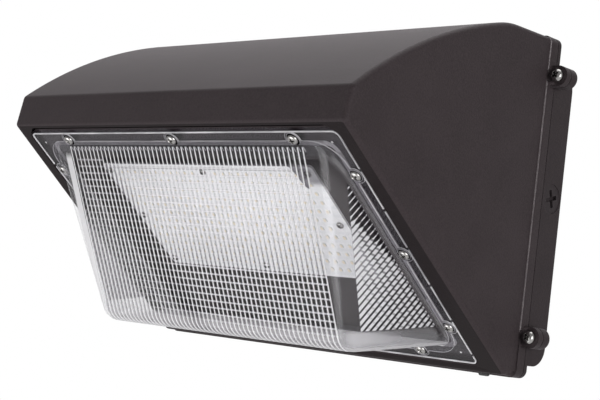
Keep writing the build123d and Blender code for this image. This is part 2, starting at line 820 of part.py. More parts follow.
# ---- lens, its gasket and screws -----------------------------------------------------------------
def dome_form(inset):
    """The dome's outer or inner wedge above the flange's face."""
    front = radians(dome_front_angle)
    under = radians(dome_under_angle)
    start = dome_top_inset + inset / sin(front)
    end = flange_length - dome_bottom_inset - inset / sin(under)
    rise = (end - start) / (cos(front) / sin(front) + cos(under) / sin(under))
    apex = (start + rise * cos(front) / sin(front), rise)
    side_view = make_face(Polyline((start, 0), apex, (end, 0), close=True))
    tip = side_view.vertices().sort_by(Axis.Y)[-1]
    side_view = fillet(tip, dome_nose_radius - inset)
    across = Plane(origin=(0, 0, 0), x_dir=(0, -1, 0), z_dir=(-1, 0, 0))
    solid = extrude(across * side_view, dome_width, both=True)
    half = dome_width / 2 - inset / cos(radians(dome_side_draft))
    lean = tan(radians(dome_side_draft))
    height = 2 * rise
    section = Polyline(
        (-half, 0), (-half + height * lean, height), (half - height * lean, height), (half, 0), close=True
    )
    solid &= extrude(Plane.XZ * make_face(section), 2 * flange_length, both=True)

    def on_side(edge):
        return abs(edge.center().X) > dome_edge_radius and edge.center().Z > same_place

    solid = fillet([edge for edge in solid.edges() if on_side(edge)], dome_edge_radius - inset)
    return slope.location * solid, start, end, half


def make_lens():
    flange = slope_slab(flange_width, 0, flange_length, -flange_thickness, 0, flange_corner_radius)
    outer, _, _, _ = dome_form(0)
    inner, start, end, half = dome_form(dome_wall)
    solid = flange + outer
    solid -= inner
    corner = dome_edge_radius - dome_wall
    solid -= slope_slab(2 * half, start, end, -flange_thickness - overcut, same_place, corner)
    for x, down in lens_screw_places:
        through = Cylinder(lens_screw_diameter / 2 + lens_screw_hole_clearance, 4 * flange_thickness)
        notch = Cylinder(lens_notch_radius, far_reach, align=(Align.CENTER, Align.CENTER, Align.MIN))
        solid -= on_slope(x, down, 0) * through
        solid -= on_slope(x, down, 0) * notch
    return solid


def make_lens_screws():
    screw = pan_screw(
        lens_screw_head,
        lens_screw_head_height,
        lens_screw_diameter,
        lens_screw_length,
        small_slot_share,
    )
    return [on_slope(x, down, 0) * screw for x, down in lens_screw_places]


# ---- light source ----------------------------------------------------------------------------
def make_led_board():
    board = slope_slab(
        board_width, board_top_inset, board_low, board_bottom, board_face, board_corner_radius
    )
    for x, down in board_screw_places:
        hole = Cylinder(small_screw_diameter / 2 + hole_clearance, 4 * board_thickness)
        board -= on_slope(x, down, board_bottom) * hole
    return board


def make_led_chips():
    chip = Box(chip_length, chip_width, chip_height, align=(Align.CENTER, Align.CENTER, Align.MIN))
    chips = []
    for column in range(chip_columns):
        x = (column - (chip_columns - 1) / 2) * chip_pitch_across
        for row in range(chip_rows):
            down = driver_middle + (row - (chip_rows - 1) / 2) * chip_pitch_down
            reach = small_screw_head / 2 + chip_width
            if all(max(abs(x - sx), abs(down - sd)) > reach for sx, sd in board_screw_places):
                chips.append(on_slope(x, down, board_face) * chip)
    return chips


def make_board_screws():
    screw = small_screw(board_thickness + small_screw_into_metal)
    return [on_slope(x, down, board_face) * screw for x, down in board_screw_places]


# ---- driver --------------------------------------------------------------------------------------
plate_inner = post_top - driver_plate_thickness


def make_driver_plate():
    half = driver_plate_width / 2
    plate = slope_slab(
        driver_plate_length,
        driver_middle - half,
        driver_middle + half,
        plate_inner,
        post_top,
        driver_plate_corner,
    )
    for x, down in post_places:
        hole = Cylinder(small_screw_diameter / 2 + hole_clearance, 4 * driver_plate_thickness)
        plate -= on_slope(x, down, post_top) * hole
    return plate


def make_driver():
    case = on_slope(0, driver_middle, plate_inner) * Box(
        driver_length, driver_width, driver_height, align=(Align.CENTER, Align.CENTER, Align.MAX)
    )
    return fillet(case.edges().filter_by(Axis.X), driver_case_edge)


def make_driver_screws():
    turned = Rot(180, 0, 0) * small_screw(driver_plate_thickness + driver_screw_reach)
    return [on_slope(x, down, plate_inner) * turned for x, down in post_places]


def make_dc_leads():
    height = plate_inner - driver_height / 2
    leads = []
    for side in (-1, 1):
        down = grommet_down + side * lead_spacing / 2
        route = FilletPolyline(
            (-driver_length / 2, -down, height),
            (grommet_x, -down, height),
            (grommet_x, -down, board_bottom),
            radius=lead_bend_radius,
        )
        start = Plane(origin=(-driver_length / 2, -down, height), z_dir=(-1, 0, 0))
        leads.append(slope.location * sweep(start * Circle(lead_diameter / 2), path=route))
    return leads


def make_grommet():
    stem_top = floor_out - grommet_below_floor
    bush = on_slope(grommet_x, grommet_down, floor_in) * Cylinder(
        grommet_radius, stem_top - floor_in, align=(Align.CENTER, Align.CENTER, Align.MIN)
    )
    bush += on_slope(grommet_x, grommet_down, floor_in) * Cylinder(
        grommet_flange_radius, grommet_flange_thickness, align=(Align.CENTER, Align.CENTER, Align.MAX)
    )
    for side in (-1, 1):
        down = grommet_down + side * lead_spacing / 2
        hole = Cylinder(lead_diameter / 2 + grommet_clearance, 6 * floor_thickness)
        bush -= on_slope(grommet_x, down, floor_in) * hole
    return bush


# ---- door screws, gaskets and drain plug ------------------------------------------------------------
def make_door_screw(z):
    thread_end = box_front + door_screw_engagement
    length = thread_end - front_lug_face
    screw = pan_screw(
        door_screw_head, door_screw_head_height, door_screw_neck, length, door_slot_share
    )
    screw += Pos(0, 0, -length) * Cylinder(
        door_screw_diameter / 2, door_screw_engagement, align=(Align.CENTER, Align.CENTER, Align.MIN)
    )
    return facing_viewer(lug_x, front_lug_face, z) * screw


def make_drain_plug():
    drain_top = drain_ceiling()
    head = Cylinder(
        drain_head_diameter / 2, drain_head_height, align=(Align.CENTER, Align.CENTER, Align.MAX)
    )
    head = fillet(head.edges().group_by(Axis.Z)[0], drain_head_round)
    stem = Cylinder(
        drain_stem_diameter / 2, drain_top - bottom, align=(Align.CENTER, Align.CENTER, Align.MIN)
    )
    return Pos(drain_x, -drain_from_wall, bottom) * (head + stem)


def drain_ceiling():
    """Height of the casting's inner face above the drain hole."""
    inner_y = -drain_from_wall
    return flange_top_height - (floor_in + (inner_y + flange_top_from_wall) * slope_sin) / slope_cos


# ---- write every node ---------------------------------------------------------------------------
def save(name, shape):
    solids = shape if isinstance(shape, list) else shape.solids()
    solids = [solid for item in solids for solid in item.solids()]
    export_step(Compound(solids) if len(solids) > 1 else solids[0], f"parts/{name}.step")


os.makedirs("parts", exist_ok=True)
save("back_box", make_back_box())
save("conduit_plug_right", make_conduit_plug(1))
save("conduit_plug_left", make_conduit_plug(-1))
save("terminal_block", make_terminal_block())
save("terminal_screws", make_terminal_screws())
save("ground_screw", make_ground_screw())
save("ground_washer", make_ground_washer())
save("hinge_pin_upper", make_hinge_pin(lug_height))
save("hinge_pin_lower", make_hinge_pin(-lug_height))
save("hinge_pin_clips", make_hinge_clips())
save("front_housing", make_front_housing())
save("lens", make_lens())
save("lens_gasket", lens_gasket_ring(gasket_width, lens_groove_floor, -flange_thickness))
save("lens_screws", make_lens_screws())
save("led_board", make_led_board())
save("led_chips", make_led_chips())
save("led_board_screws", make_board_screws())
save("driver_base_plate", make_driver_plate())
save("led_driver", make_driver())
save("driver_screws", make_driver_screws())
save("dc_leads", make_dc_leads())
save("lead_grommet", make_grommet())
save("door_gasket", door_gasket_ring(gasket_width, door_groove_floor, box_front - door_gasket_free))
save("door_screw_upper", make_door_screw(lug_height))
save("door_screw_lower", make_door_screw(-lug_height))
save("drain_plug", make_drain_plug())
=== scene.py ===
"""Looks of an outdoor wall pack light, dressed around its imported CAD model. Sizes in millimetres."""

from math import atan2, cos, hypot, pi, radians, sin, sqrt, tan

import bmesh
import bpy
import numpy as np
from mathutils import Matrix, Vector
from mathutils.geometry import tessellate_polygon


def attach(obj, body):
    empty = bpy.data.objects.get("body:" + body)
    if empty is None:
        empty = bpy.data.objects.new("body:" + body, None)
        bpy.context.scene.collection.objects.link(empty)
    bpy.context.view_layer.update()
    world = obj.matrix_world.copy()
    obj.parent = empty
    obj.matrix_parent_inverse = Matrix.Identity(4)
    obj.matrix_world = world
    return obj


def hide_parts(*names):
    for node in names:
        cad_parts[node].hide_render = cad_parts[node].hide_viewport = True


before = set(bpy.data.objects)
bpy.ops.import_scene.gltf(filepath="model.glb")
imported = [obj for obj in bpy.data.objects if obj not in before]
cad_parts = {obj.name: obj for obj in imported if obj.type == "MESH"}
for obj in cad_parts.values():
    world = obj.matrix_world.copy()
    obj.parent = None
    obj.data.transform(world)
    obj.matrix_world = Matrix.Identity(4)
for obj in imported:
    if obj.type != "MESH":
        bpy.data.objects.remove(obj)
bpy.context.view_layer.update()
scene = bpy.context.scene

MM = 0.001

# ---- sizes shared with the CAD model ----
SLOPE_ANGLE = radians(37.5)
SLOPE_FOOT_Y, SLOPE_FOOT_Z = -48.3, -115.5
FLANGE_LENGTH = 219.4
FLANGE_WIDTH = 320.34
FLANGE_THICKNESS = 3.0
FLANGE_CORNER = 5.0
SLOPE_TOP_Y = SLOPE_FOOT_Y - FLANGE_LENGTH * cos(SLOPE_ANGLE)
SLOPE_TOP = Vector((0, SLOPE_TOP_Y, SLOPE_FOOT_Z + FLANGE_LENGTH * sin(SLOPE_ANGLE)))
ACROSS = Vector((1, 0, 0))
DOWN = Vector((0, cos(SLOPE_ANGLE), -sin(SLOPE_ANGLE)))
OUT = Vector((0, -sin(SLOPE_ANGLE), -cos(SLOPE_ANGLE)))
DOME_START = 12.6
DOME_END = FLANGE_LENGTH - 16.4
DOME_HALF = FLANGE_WIDTH / 2 - 12.2
DOME_FRONT = radians(27.3)
DOME_UNDER = radians(46.1)
DOME_DRAFT = radians(13.5)
DOME_WALL = 2.6
DOME_EDGE_RADIUS = 12.0
BOARD_TOP = 37.0
BOARD_LENGTH = 109.0
BOARD_MIDDLE = BOARD_TOP + BOARD_LENGTH / 2
BOARD_FACE = -5.9
LENS_SCREWS = [(x, 7.1) for x in (-117.97, 0, 117.97)]
LENS_SCREWS += [(x, 38.5 + 71.6 * step) for x in (-153.07, 153.07) for step in range(3)]
LENS_SCREWS += [(x, FLANGE_LENGTH - 8.9) for x in (-113.37, 0, 113.37)]
BOARD_SCREWS = [
    (x, down)
    for x in (-103.5, 0, 103.5)
    for down in (BOARD_TOP + 6.5, BOARD_MIDDLE, BOARD_TOP + BOARD_LENGTH - 6.5)
    if (x, down) != (0, BOARD_MIDDLE)
]
CHIP_COLUMNS, CHIP_ROWS = 26, 12
CHIP_PITCH_ACROSS, CHIP_PITCH_DOWN = 8.0, 8.4
CHIP_CLEAR_OF_SCREW = 6.3
DOOR_SCREWS = {"door_screw_upper": 93.0, "door_screw_lower": -93.0}
DOOR_SCREW_X = 187.1
DOOR_SCREW_SEAT = -29.5
LEDGE_Y = -32.5
LEDGE_FROM = 178
FRAME_RISE = 1.0

# ---- sizes of the details that are only here ----
DOME_NOSE_RADIUS = 10.0
FLUTES = 54
FLUTED_HALF = 122.0
FLUTE_PITCH = 2 * FLUTED_HALF / FLUTES
RIB_PITCH = 4.65
RIB_FIRST = 24.6
RIDGE_DEPTH = 0.3
SIDE_PITCH = 4.22
SIDE_LEAN = 0.07
LEDGE_PITCH = 5.0
UNDER_PITCH = 3.2
RAISED = 0.8
RIM_INSET, RIM_WIDTH = 0.1, 1.1
RIM_GAP, RIM_GAP_FIRST, RIM_GAP_PITCH, RIM_GAPS = 2.6, 28.7, 35.2, 6
LAND_INSET, LAND_SWELL, LAND_CORNER = 8.4, 6.6, 22.0
WELL_RADIUS, SIDE_WELL_RADIUS, WELL_SHADOW_RADIUS = 5.2, 4.8, 3.4
MARK_RADIUS = 0.9
MARKS = [(x, down) for x in (-150, 150) for down in (9.9, 208.5)]
SEAT_GAP = 0.03
FRONT_LENGTH = (DOME_END - DOME_START) / (1 + tan(DOME_FRONT) / tan(DOME_UNDER)) / cos(DOME_FRONT)
FIRST_ROW = 0.02
LAST_ROW = (DOME_END - DOME_START) * cos(DOME_FRONT) - 0.05


def on_slope(across, down, out):
    """A place on the sloping opening, in metres."""
    return (SLOPE_TOP + ACROSS * across + DOWN * down + OUT * out) * MM


# ---- shader and geometry trees ----
class Graph:
    """Wires new nodes into the node tree self.tree."""

    def node(self, kind, settings=None, sockets=None, output=0):
        """Adds a node and returns one of its outputs."""
        node = self.tree.nodes.new(kind)
        for name, value in (settings or {}).items():
            setattr(node, name, value)
        for name, value in (sockets or {}).items():
            if isinstance(value, Amount):
                value = value.socket
            if isinstance(value, bpy.types.NodeSocket):
                self.tree.links.new(value, node.inputs[name])
            else:
                node.inputs[name].default_value = value
        return node.outputs[output] if node.outputs else None


def operator(operation, swapped=False):
    def result(self, other=0.0):
        pair = (other, self) if swapped else (self, other)
        return self.finish.amount("ShaderNodeMath", {"operation": operation}, dict(enumerate(pair)))

    return result


class Amount:
    """A shader socket that can be used in a Python expression."""

    def __init__(self, finish, socket):
        self.finish = finish
        self.socket = socket

    __add__ = __radd__ = operator("ADD")
    __sub__ = operator("SUBTRACT")
    __rsub__ = operator("SUBTRACT", swapped=True)
    __mul__ = __rmul__ = operator("MULTIPLY")
    __truediv__ = operator("DIVIDE")
    __abs__ = operator("ABSOLUTE")
    power = operator("POWER")
    part = operator("FRACT")
    at_most = operator("MINIMUM")
    maximum = operator("MAXIMUM")

    def at_least(self, *others):
        most = self
        for other in others:
            most = most.maximum(other)
        return most

    def step(self, low, high):
        """0 below low, 1 above high, smooth between them."""
        sockets = {"Value": self, "From Min": low, "From Max": high}
        return self.finish.amount("ShaderNodeMapRange", {"interpolation_type": "SMOOTHSTEP"}, sockets)

    def within(self, start, full, fading, end):
        """0 up to start, 1 from full to fading, 0 again from end."""
        return self.step(start, full) * (1 - self.step(fading, end))

    def line(self, width):
        """1 at each whole number and 0 from width away, as a share of one pitch."""
        return 1 - (abs((self + 0.5).part() - 0.5) * 2).step(width * 0.6, width * 1.4)


class Finish(Graph):
    """A procedural material for one of the light's surfaces, or the light from all round."""

    def __init__(self, name, world=False):
        self.owner = (bpy.data.worlds if world else bpy.data.materials).new(name)
        self.owner.use_nodes = True
        self.tree = self.owner.node_tree
        self.tree.nodes.clear()
        self.output = "ShaderNodeOutputWorld" if world else "ShaderNodeOutputMaterial"
        self.coordinates = self.node("ShaderNodeTexCoord", output="Generated" if world else "Object")

    def amount(self, kind, settings=None, sockets=None, output=0):
        return Amount(self, self.node(kind, settings, sockets, output))

    def ray(self, kind):
        """1 for a ray of this kind."""
        return self.amount("ShaderNodeLightPath", output=f"Is {kind} Ray")

    def along(self, direction, start=0.0):
        """Distance along a direction of the part, in millimetres."""
        sockets = {0: self.coordinates, 1: Vector(direction) / MM}
        return self.amount("ShaderNodeVectorMath", {"operation": "DOT_PRODUCT"}, sockets, "Value") - start

    def grain(self, size, detail=3.0):
        """Noise whose features are about size millimetres."""
        sockets = {"Vector": self.coordinates, "Scale": 1 / (size * MM), "Detail": detail, "Roughness": 0.55}
        return self.amount("ShaderNodeTexNoise", {}, sockets)

    def blend(self, share, low, high):
        """A colour between two."""
        return self.node("ShaderNodeMix", {"data_type": "RGBA"}, {0: share, 6: low, 7: high}, 2)

    def bump(self, height, distance, strength, edge=None):
        """A normal from a height; distance, and the radius that softens edges, in millimetres."""
        sockets = {"Height": height, "Distance": distance * MM, "Strength": strength}
        if edge:
            sockets["Normal"] = self.node("ShaderNodeBevel", {"samples": 4}, {"Radius": edge * MM})
        return self.node("ShaderNodeBump", {}, sockets)

    def shader(self, kind, **sockets):
        """A shader whose sockets are named with _ for a space."""
        named = {name.replace("_", " "): value for name, value in sockets.items()}
        return self.node("ShaderNode" + kind, {}, named)

    def surface(self, **sockets):
        return self.shader("BsdfPrincipled", **sockets)

    def mix(self, share, first, second):
        return self.node("ShaderNodeMixShader", {}, {0: share, 1: first, 2: second})

    def finish(self, shader):
        self.node(self.output, {}, {"Surface": shader})
        return self.owner


# ---- finishes ----
def rgb(red, green, blue):
    return (red, green, blue, 1.0)


def tones(colour, darker, lighter):
    """Two shades of a colour."""
    return [rgb(*(min(1.0, value * share) for value in colour)) for share in (darker, lighter)]


def powder_coat(name, colour, edge=0.5, sheen=0.085, specular=0.19):
    """Dark textured powder coat on die-cast metal."""
    coat = Finish(name)
    cloud = coat.grain(38.0, 2.0)
    speck = coat.grain(1.1, 2.0)
    return coat.finish(
        coat.surface(
            Base_Color=coat.blend((cloud * 0.4 + speck * 1.2 - 0.3).step(0.1, 0.9), *tones(colour, 0.72, 1.28)),
            Roughness=0.5 + speck * 0.16,
            Specular_IOR_Level=specular,
            Specular_Tint=rgb(1.0, 0.88, 0.94),
            Sheen_Weight=sheen,
            Sheen_Roughness=0.35,
            Sheen_Tint=rgb(1.0, 0.88, 0.95),
            Normal=coat.bump(speck + coat.grain(2.6, 2.0) * 0.5, 0.16, 0.85, edge),
        )
    )


CLEAR = rgb(0.97, 0.97, 0.975)
# the white of the dome's painted highlights
HIGHLIGHT_WHITE = rgb(0.95, 0.94, 0.96)


def clear_plastic(name):
    """Clear moulded plastic with a gloss that grows towards grazing views."""
    clear = Finish(name)
    haze = clear.grain(9.0, 3.0)
    facing = clear.amount("ShaderNodeLayerWeight", {}, {"Blend": 0.5}, "Facing")
    return clear, haze, facing.power(5) * 0.96 + 0.04


def clear_flange():
    clear, haze, gloss = clear_plastic("clear_flange")
    tint = clear.blend(haze, rgb(0.80, 0.79, 0.81), rgb(0.90, 0.89, 0.91))
    shine = clear.surface(Base_Color=rgb(0.9, 0.9, 0.92), Metallic=1.0, Roughness=0.10 + haze * 0.08)
    see_through = clear.shader("BsdfTransparent", Color=tint)
    return clear.finish(clear.mix(gloss * 0.7 + haze * 0.015, see_through, shine))


def bright_edge(name, least, more):
    """Painted highlight for the thin edges of the moulding: a whiter clear finish where they catch light."""
    clear, haze, gloss = clear_plastic(name)
    clear_part = clear.shader("BsdfTransparent", Color=rgb(0.9, 0.9, 0.92))
    glow = clear.surface(Base_Color=rgb(0.80, 0.79, 0.81), Roughness=0.2 + haze * 0.2)
    bright = gloss.at_least(clear.grain(30.0, 2.0).step(0.35, 0.65) * more + least)
    return clear.finish(clear.mix(bright, clear_part, glow))


def clear_dome(name, outside):
    """One skin of the dome: flutes outside, ribs inside, both with painted highlights as white lines along their
    edges.
    """
    clear, haze, gloss = clear_plastic(name)
    x = clear.along(ACROSS)
    left_by = 0 - x
    down = clear.along(DOWN, SLOPE_TOP.dot(DOWN))
    out = clear.along(OUT, SLOPE_TOP.dot(OUT))
    along, behind = slope_to_front(down, out)
    from_under = above_under(down, out)
    reach = side_reach(x, out)
    # parts of the skin, each 1 inside and 0 outside
    fluted = 1 - abs(x).step(FLUTED_HALF + 0.6, FLUTED_HALF + 1.0)
    on_side = reach.step(DOME_HALF - 3.6, DOME_HALF - 3.0) * behind.step(10.8, 11.6)
    on_side = on_side * from_under.step(14.5, 15.5) * out.step(2.4, 3.2)
    on_front = (1 - behind.step(4.0, 7.0)) * fluted
    nose = 1 - from_under.step(4.0, 17.0)
    foot = (1 - out.step(2.2, 3.0)) * out.step(0.2, 0.7) * behind.step(1.5, 4.0)
    under = 1 - from_under.step(3.0, 3.6)
    left = left_by.step(10, 112) * along.step(15, 90)
    if outside:
        # painted highlights: white lines along the flutes and a white band along the left edge; painted whitening
        # at the nose, foot, underside, lower left and corners
        flute_count = x / FLUTE_PITCH
        flute = flute_count.line(left * 0.10 + 0.27) * fluted * along.step(0.8, 1.8)
        left_edge_highlight = left_by.within(123.0, 123.6, 129.5, 130.5) * along.step(4, 12)
        highlight_lines = flute.at_least(left_edge_highlight * (1 - behind.step(2.0, 3.0)))
        pale = left_by.step(60, 122) * along.step(30, 120) * on_front * 0.15
        corner = (1 - fluted) * (1 - behind.step(9, 13)) * out.step(3, 10) * 0.07
        nose_whitening = nose * fluted * (0.15 + from_under.step(4, 10) * 0.4)
        whitening = nose_whitening.at_least(foot * 0.22, under * 0.55, pale, corner)
        # painted shade: the tint darkens the valleys between flutes, standing for dark parts of the hood that
        # they bend over the board's edges, a band of cells above the board, the shadow line of the board's top
        # edge and the board's right corner
        from_end = x - along * 0.62 + 99.4
        fade = (1 - from_end.step(0, 30)) * (0.55 + from_end.step(-20, -4) * 0.45)
        fade = fade.at_least(along.step(54, 86) * 0.5)
        valley = (flute_count + 0.42).line(0.2 + fade * 0.22) * on_front * along.step(14, 15)
        bent_end = 1 - (along - x.step(104, 122) * 15).step(13.8, 14.8)
        past_top = along.step(9.3, 9.9)
        bent = bent_end * on_front * (0.4 + past_top * x.step(-86, -84) * 0.55)
        board_edge_shadow = (1 - abs(along - 17.4).step(0.2, 0.6)) * x.within(-84, -82, 112, 114)
        board_corner = x.within(122.8, 123.4, 134, 137) * (1 - behind.step(3, 6)) * past_top
        board_corner = board_corner * (1 - along.step(24, 29))
        dark = (valley * (0.24 + fade * 0.68)).at_least(bent, board_edge_shadow * 0.45, board_corner * 0.8)
        tint = clear.blend(dark, CLEAR, rgb(0.20, 0.19, 0.21))
    else:
        # painted highlights: white lines along the ribs inside, on the sides and under the dome; painted
        # whitening at the nose, foot, underside and low side wall
        rib = rib_count(down).line(0.24 - left * 0.12) * down.step(RIB_FIRST - 2, RIB_FIRST - 1.5)
        rib = rib * (1 - abs(x).step(FLUTED_HALF - 2.8, FLUTED_HALF - 2.2))
        # the first rib shows only at the left
        rib = rib * (1 - x.step(-90, -86) * (1 - down.step(27, 28)))
        full = (out - 2.5).step(10 - (down - 58) * 0.2, 14 - (down - 58) * 0.2)
        side_rib = side_count(down, out).line(0.22 + full * (0.5 - down.step(105, 150) * 0.16))
        ledge = (out / LEDGE_PITCH + (side_count(down, out) + 0.5).part() * 0.4).line(0.28)
        ledge = ledge * (1 - out.step(15, 40) * down.step(80, 110) * 0.7) * behind.step(14, 19)
        side = side_rib * (1 - ledge * 0.6) * on_side * (1 - left_by.step(100, 130) * 0.5)
        under_rib = (x / UNDER_PITCH).line(0.52) * under * 0.97
        low_wall = reach.step(DOME_HALF - 14, DOME_HALF - 3) * (1 - from_under.step(13, 16)) * out.step(2, 6)
        weaker = (1 - left * 0.5) * (1 - left_by.step(0, 110) * 0.15)
        highlight_lines = (rib * on_front * weaker).at_least(side, under_rib)
        nose_whitening = nose * fluted * (0.15 + from_under.step(4, 10) * 0.25)
        whitening = nose_whitening.at_least(foot * 0.1, under * 0.72, low_wall * (0.25 + out.step(18, 60) * 0.5))
        # painted shade: the sides see through to a darker tint
        tint = clear.blend(on_side, CLEAR, rgb(0.30, 0.29, 0.31))
    shade = clear.blend(highlight_lines.at_least(under * 0.1), rgb(0.70, 0.69, 0.71), HIGHLIGHT_WHITE)
    lit = clear.surface(Base_Color=shade, Roughness=0.16 + haze * 0.08)
    glow = clear.mix(0.38, lit, clear.shader("BsdfTranslucent", Color=HIGHLIGHT_WHITE))
    shine = clear.surface(Base_Color=rgb(0.93, 0.93, 0.95), Metallic=1.0, Roughness=0.05 + haze * 0.04)
    see_through = clear.mix(gloss * 0.5, clear.shader("BsdfTransparent", Color=tint), shine)
    seen = 1 - clear.ray("Shadow") * 0.85
    return clear.finish(clear.mix(highlight_lines.at_least(whitening) * 0.94 * seen, see_through, glow))


def satin_metal(name, colour, rough, grain=1.6):
    metal = Finish(name)
    wear = metal.grain(grain, 4.0)
    shade = metal.blend(metal.grain(grain * 6, 2.0), *tones(colour, 0.88, 1.0))
    roughness = rough * 0.7 + wear * rough * 0.6
    relief = metal.bump(wear, 0.02, 0.4, 0.2)
    return metal.finish(metal.surface(Base_Color=shade, Metallic=1.0, Roughness=roughness, Normal=relief))


def moulded(name, colour, rough, specular=0.5):
    """Plastic or rubber with a fine mould texture."""
    made = Finish(name)
    cloud = made.grain(14.0, 3.0)
    shade = made.blend(cloud, *tones(colour, 0.9, 1.08))
    relief = made.bump(made.grain(0.6, 2.0), 0.03, 0.5, 0.3)
    return made.finish(
        made.surface(Base_Color=shade, Roughness=rough + cloud * 0.08, Specular_IOR_Level=specular, Normal=relief)
    )


def solder_mask():
    """White board with the faint copper pattern that shows through its mask."""
    board = Finish("white_solder_mask")
    down = board.along(DOWN, SLOPE_TOP.dot(DOWN) + BOARD_MIDDLE)
    link = abs((down / CHIP_PITCH_DOWN).part() - 0.5).step(0.30, 0.36)
    column = abs((board.along(ACROSS) / CHIP_PITCH_ACROSS).part() - 0.5).step(0.40, 0.46)
    copper = (link + column).at_most(1.0)
    shade = board.blend(copper, rgb(0.92, 0.92, 0.925), rgb(0.84, 0.845, 0.855))
    rough = 0.38 + board.grain(5.0) * 0.08
    return board.finish(board.surface(Base_Color=shade, Roughness=rough, Normal=board.bump(copper, 0.03, 0.4)))


# ---- measures of the lens, for arrays and shader amounts alike ----
def slope_to_front(down, out):
    """From distances on the slope to those along and behind the dome's front face."""
    from_start = down - DOME_START
    along = from_start * cos(DOME_FRONT) + out * sin(DOME_FRONT)
    return along, from_start * sin(DOME_FRONT) - out * cos(DOME_FRONT)


def front_to_slope(along, behind):
    down = DOME_START + along * cos(DOME_FRONT) + behind * sin(DOME_FRONT)
    return down, along * sin(DOME_FRONT) - behind * cos(DOME_FRONT)


def above_under(down, out):
    """Distance in from the dome's underside."""
    return (DOME_END - down) * sin(DOME_UNDER) - out * cos(DOME_UNDER)


def side_reach(across, out):
    """The half width that a place on a drafted side has at the flange."""
    return abs(across) + out * tan(DOME_DRAFT)


def rib_count(down):
    return (down - RIB_FIRST) / RIB_PITCH


def side_count(down, out):
    return (down - out * SIDE_LEAN - RIB_FIRST) / SIDE_PITCH


def soft_step(value, low, high):
    share = np.clip((value - low) / (high - low), 0, 1)
    return share * share * (3 - 2 * share)


# ---- the dome's skins ----
def round_join(first, second, radius):
    """Distance to two joined faces whose shared edge is rounded."""
    corner = np.hypot(np.maximum(first + radius, 0), np.maximum(second + radius, 0))
    return np.minimum(np.maximum(first, second), -radius) + corner


def dome_distance(across, along, behind):
    """How far a point lies outside the dome's outer skin."""
    down, out = front_to_slope(along, behind)
    side = (np.abs(across) - DOME_HALF) * cos(DOME_DRAFT) + out * sin(DOME_DRAFT)
    return round_join(round_join(-behind, -above_under(down, out), DOME_NOSE_RADIUS), side, DOME_EDGE_RADIUS)


def halve(low, high, outside):
    """The border between outside, at low, and inside, at high."""
    for _ in range(44):
        middle = (low + high) / 2
        away = outside(middle)
        low = np.where(away, middle, low)
        high = np.where(away, high, middle)
    return (low + high) / 2


def edge_at(rows, inset):
    """How far across the dome reaches on the flange, at each distance along the front face."""
    floor = rows * tan(DOME_FRONT)
    return halve(
        np.full_like(rows, 1.5 * DOME_HALF),
        np.zeros_like(rows),
        lambda across: dome_distance(across, rows, floor) + inset > 0,
    )


def skin(rows, columns, inset):
    """The dome's skin at an inset: rows are distances along the front face, columns run -2 to 2.

    A column from -1 to 1 is a place on the fluted part; past it, it runs down the side to the flange.
    """
    edge = edge_at(rows, inset)
    front_edge = np.minimum(FLUTED_HALF, edge * 0.98)
    share = np.abs(columns)[None, :]
    inner = np.minimum(share, 1) * FLUTED_HALF
    outer = front_edge[:, None] + np.maximum(share - 1, 0) * (edge - front_edge)[:, None]
    across = np.sign(columns)[None, :] * np.where(share <= 1, np.minimum(inner, front_edge[:, None]), outer)
    along = np.repeat(rows[:, None], len(columns), 1)
    floor = np.repeat((rows * tan(DOME_FRONT))[:, None], len(columns), 1)
    behind = halve(
        np.full_like(across, -1.0), floor, lambda depth: dome_distance(across, along, depth) + inset > 0
    )
    return across, along, np.minimum(behind, floor)


def spread(values, axis):
    return values[..., None] * np.array(axis)


def skin_points(across, along, behind):
    down, out = front_to_slope(along, behind)
    return (np.array(SLOPE_TOP) + spread(across, ACROSS) + spread(down, DOWN) + spread(out, OUT)) * MM


def skin_facing(across, along, behind):
    """Which way the skin faces at each point."""
    small = 0.01

    def slope_of(a, b, c):
        ahead = dome_distance(across + a * small, along + b * small, behind + c * small)
        back = dome_distance(across - a * small, along - b * small, behind - c * small)
        return (ahead - back) / (2 * small)

    gx, gs, gt = slope_of(1, 0, 0), slope_of(0, 1, 0), slope_of(0, 0, 1)
    front_down = np.array(DOWN) * cos(DOME_FRONT) + np.array(OUT) * sin(DOME_FRONT)
    front_in = np.array(DOWN) * sin(DOME_FRONT) - np.array(OUT) * cos(DOME_FRONT)
    facing = spread(gx, ACROSS) + spread(gs, front_down) + spread(gt, front_in)
    return facing / np.linalg.norm(facing, axis=-1, keepdims=True)


def grid_faces(rows, columns, flip):
    index = np.arange(rows * columns).reshape(rows, columns)
    quads = np.stack([index[:-1, :-1], index[1:, :-1], index[1:, 1:], index[:-1, 1:]], -1).reshape(-1, 4)
    return (quads[:, ::-1] if flip else quads).tolist()


def border(rows, columns, start):
    """The grid's outline, once round."""
    index = start + np.arange(rows * columns).reshape(rows, columns)
    return [*index[0, :-1], *index[:-1, -1], *index[-1, :0:-1], *index[:0:-1, 0]]


# ---- meshes ----
def link(name, data, *materials):
    """Adds a new object with this data to the scene."""
    for material in materials:
        data.materials.append(material)
    piece = bpy.data.objects.new(name, data)
    scene.collection.objects.link(piece)
    return piece


def drop(*pieces):
    for piece in pieces:
        bpy.data.objects.remove(piece)


def mesh_object(name, points, faces, *materials):
    mesh = bpy.data.meshes.new(name)
    mesh.from_pydata([tuple(point) for point in points], [], faces)
    mesh.validate()
    return link(name, mesh, *materials)


def from_shell(name, shell, *materials):
    """Makes a piece of a bmesh."""
    mesh = bpy.data.meshes.new(name)
    shell.to_mesh(mesh)
    shell.free()
    return link(name, mesh, *materials)


def turn_outward(shell):
    bmesh.ops.recalc_face_normals(shell, faces=shell.faces)
    return shell


def solid(name, points, faces, *materials):
    """A closed piece, with doubles merged and every face turned outwards."""
    piece = mesh_object(name, points, faces, *materials)
    shell = bmesh.new()
    shell.from_mesh(piece.data)
    bmesh.ops.remove_doubles(shell, verts=shell.verts, dist=1e-6)
    turn_outward(shell).to_mesh(piece.data)
    shell.free()
    return piece


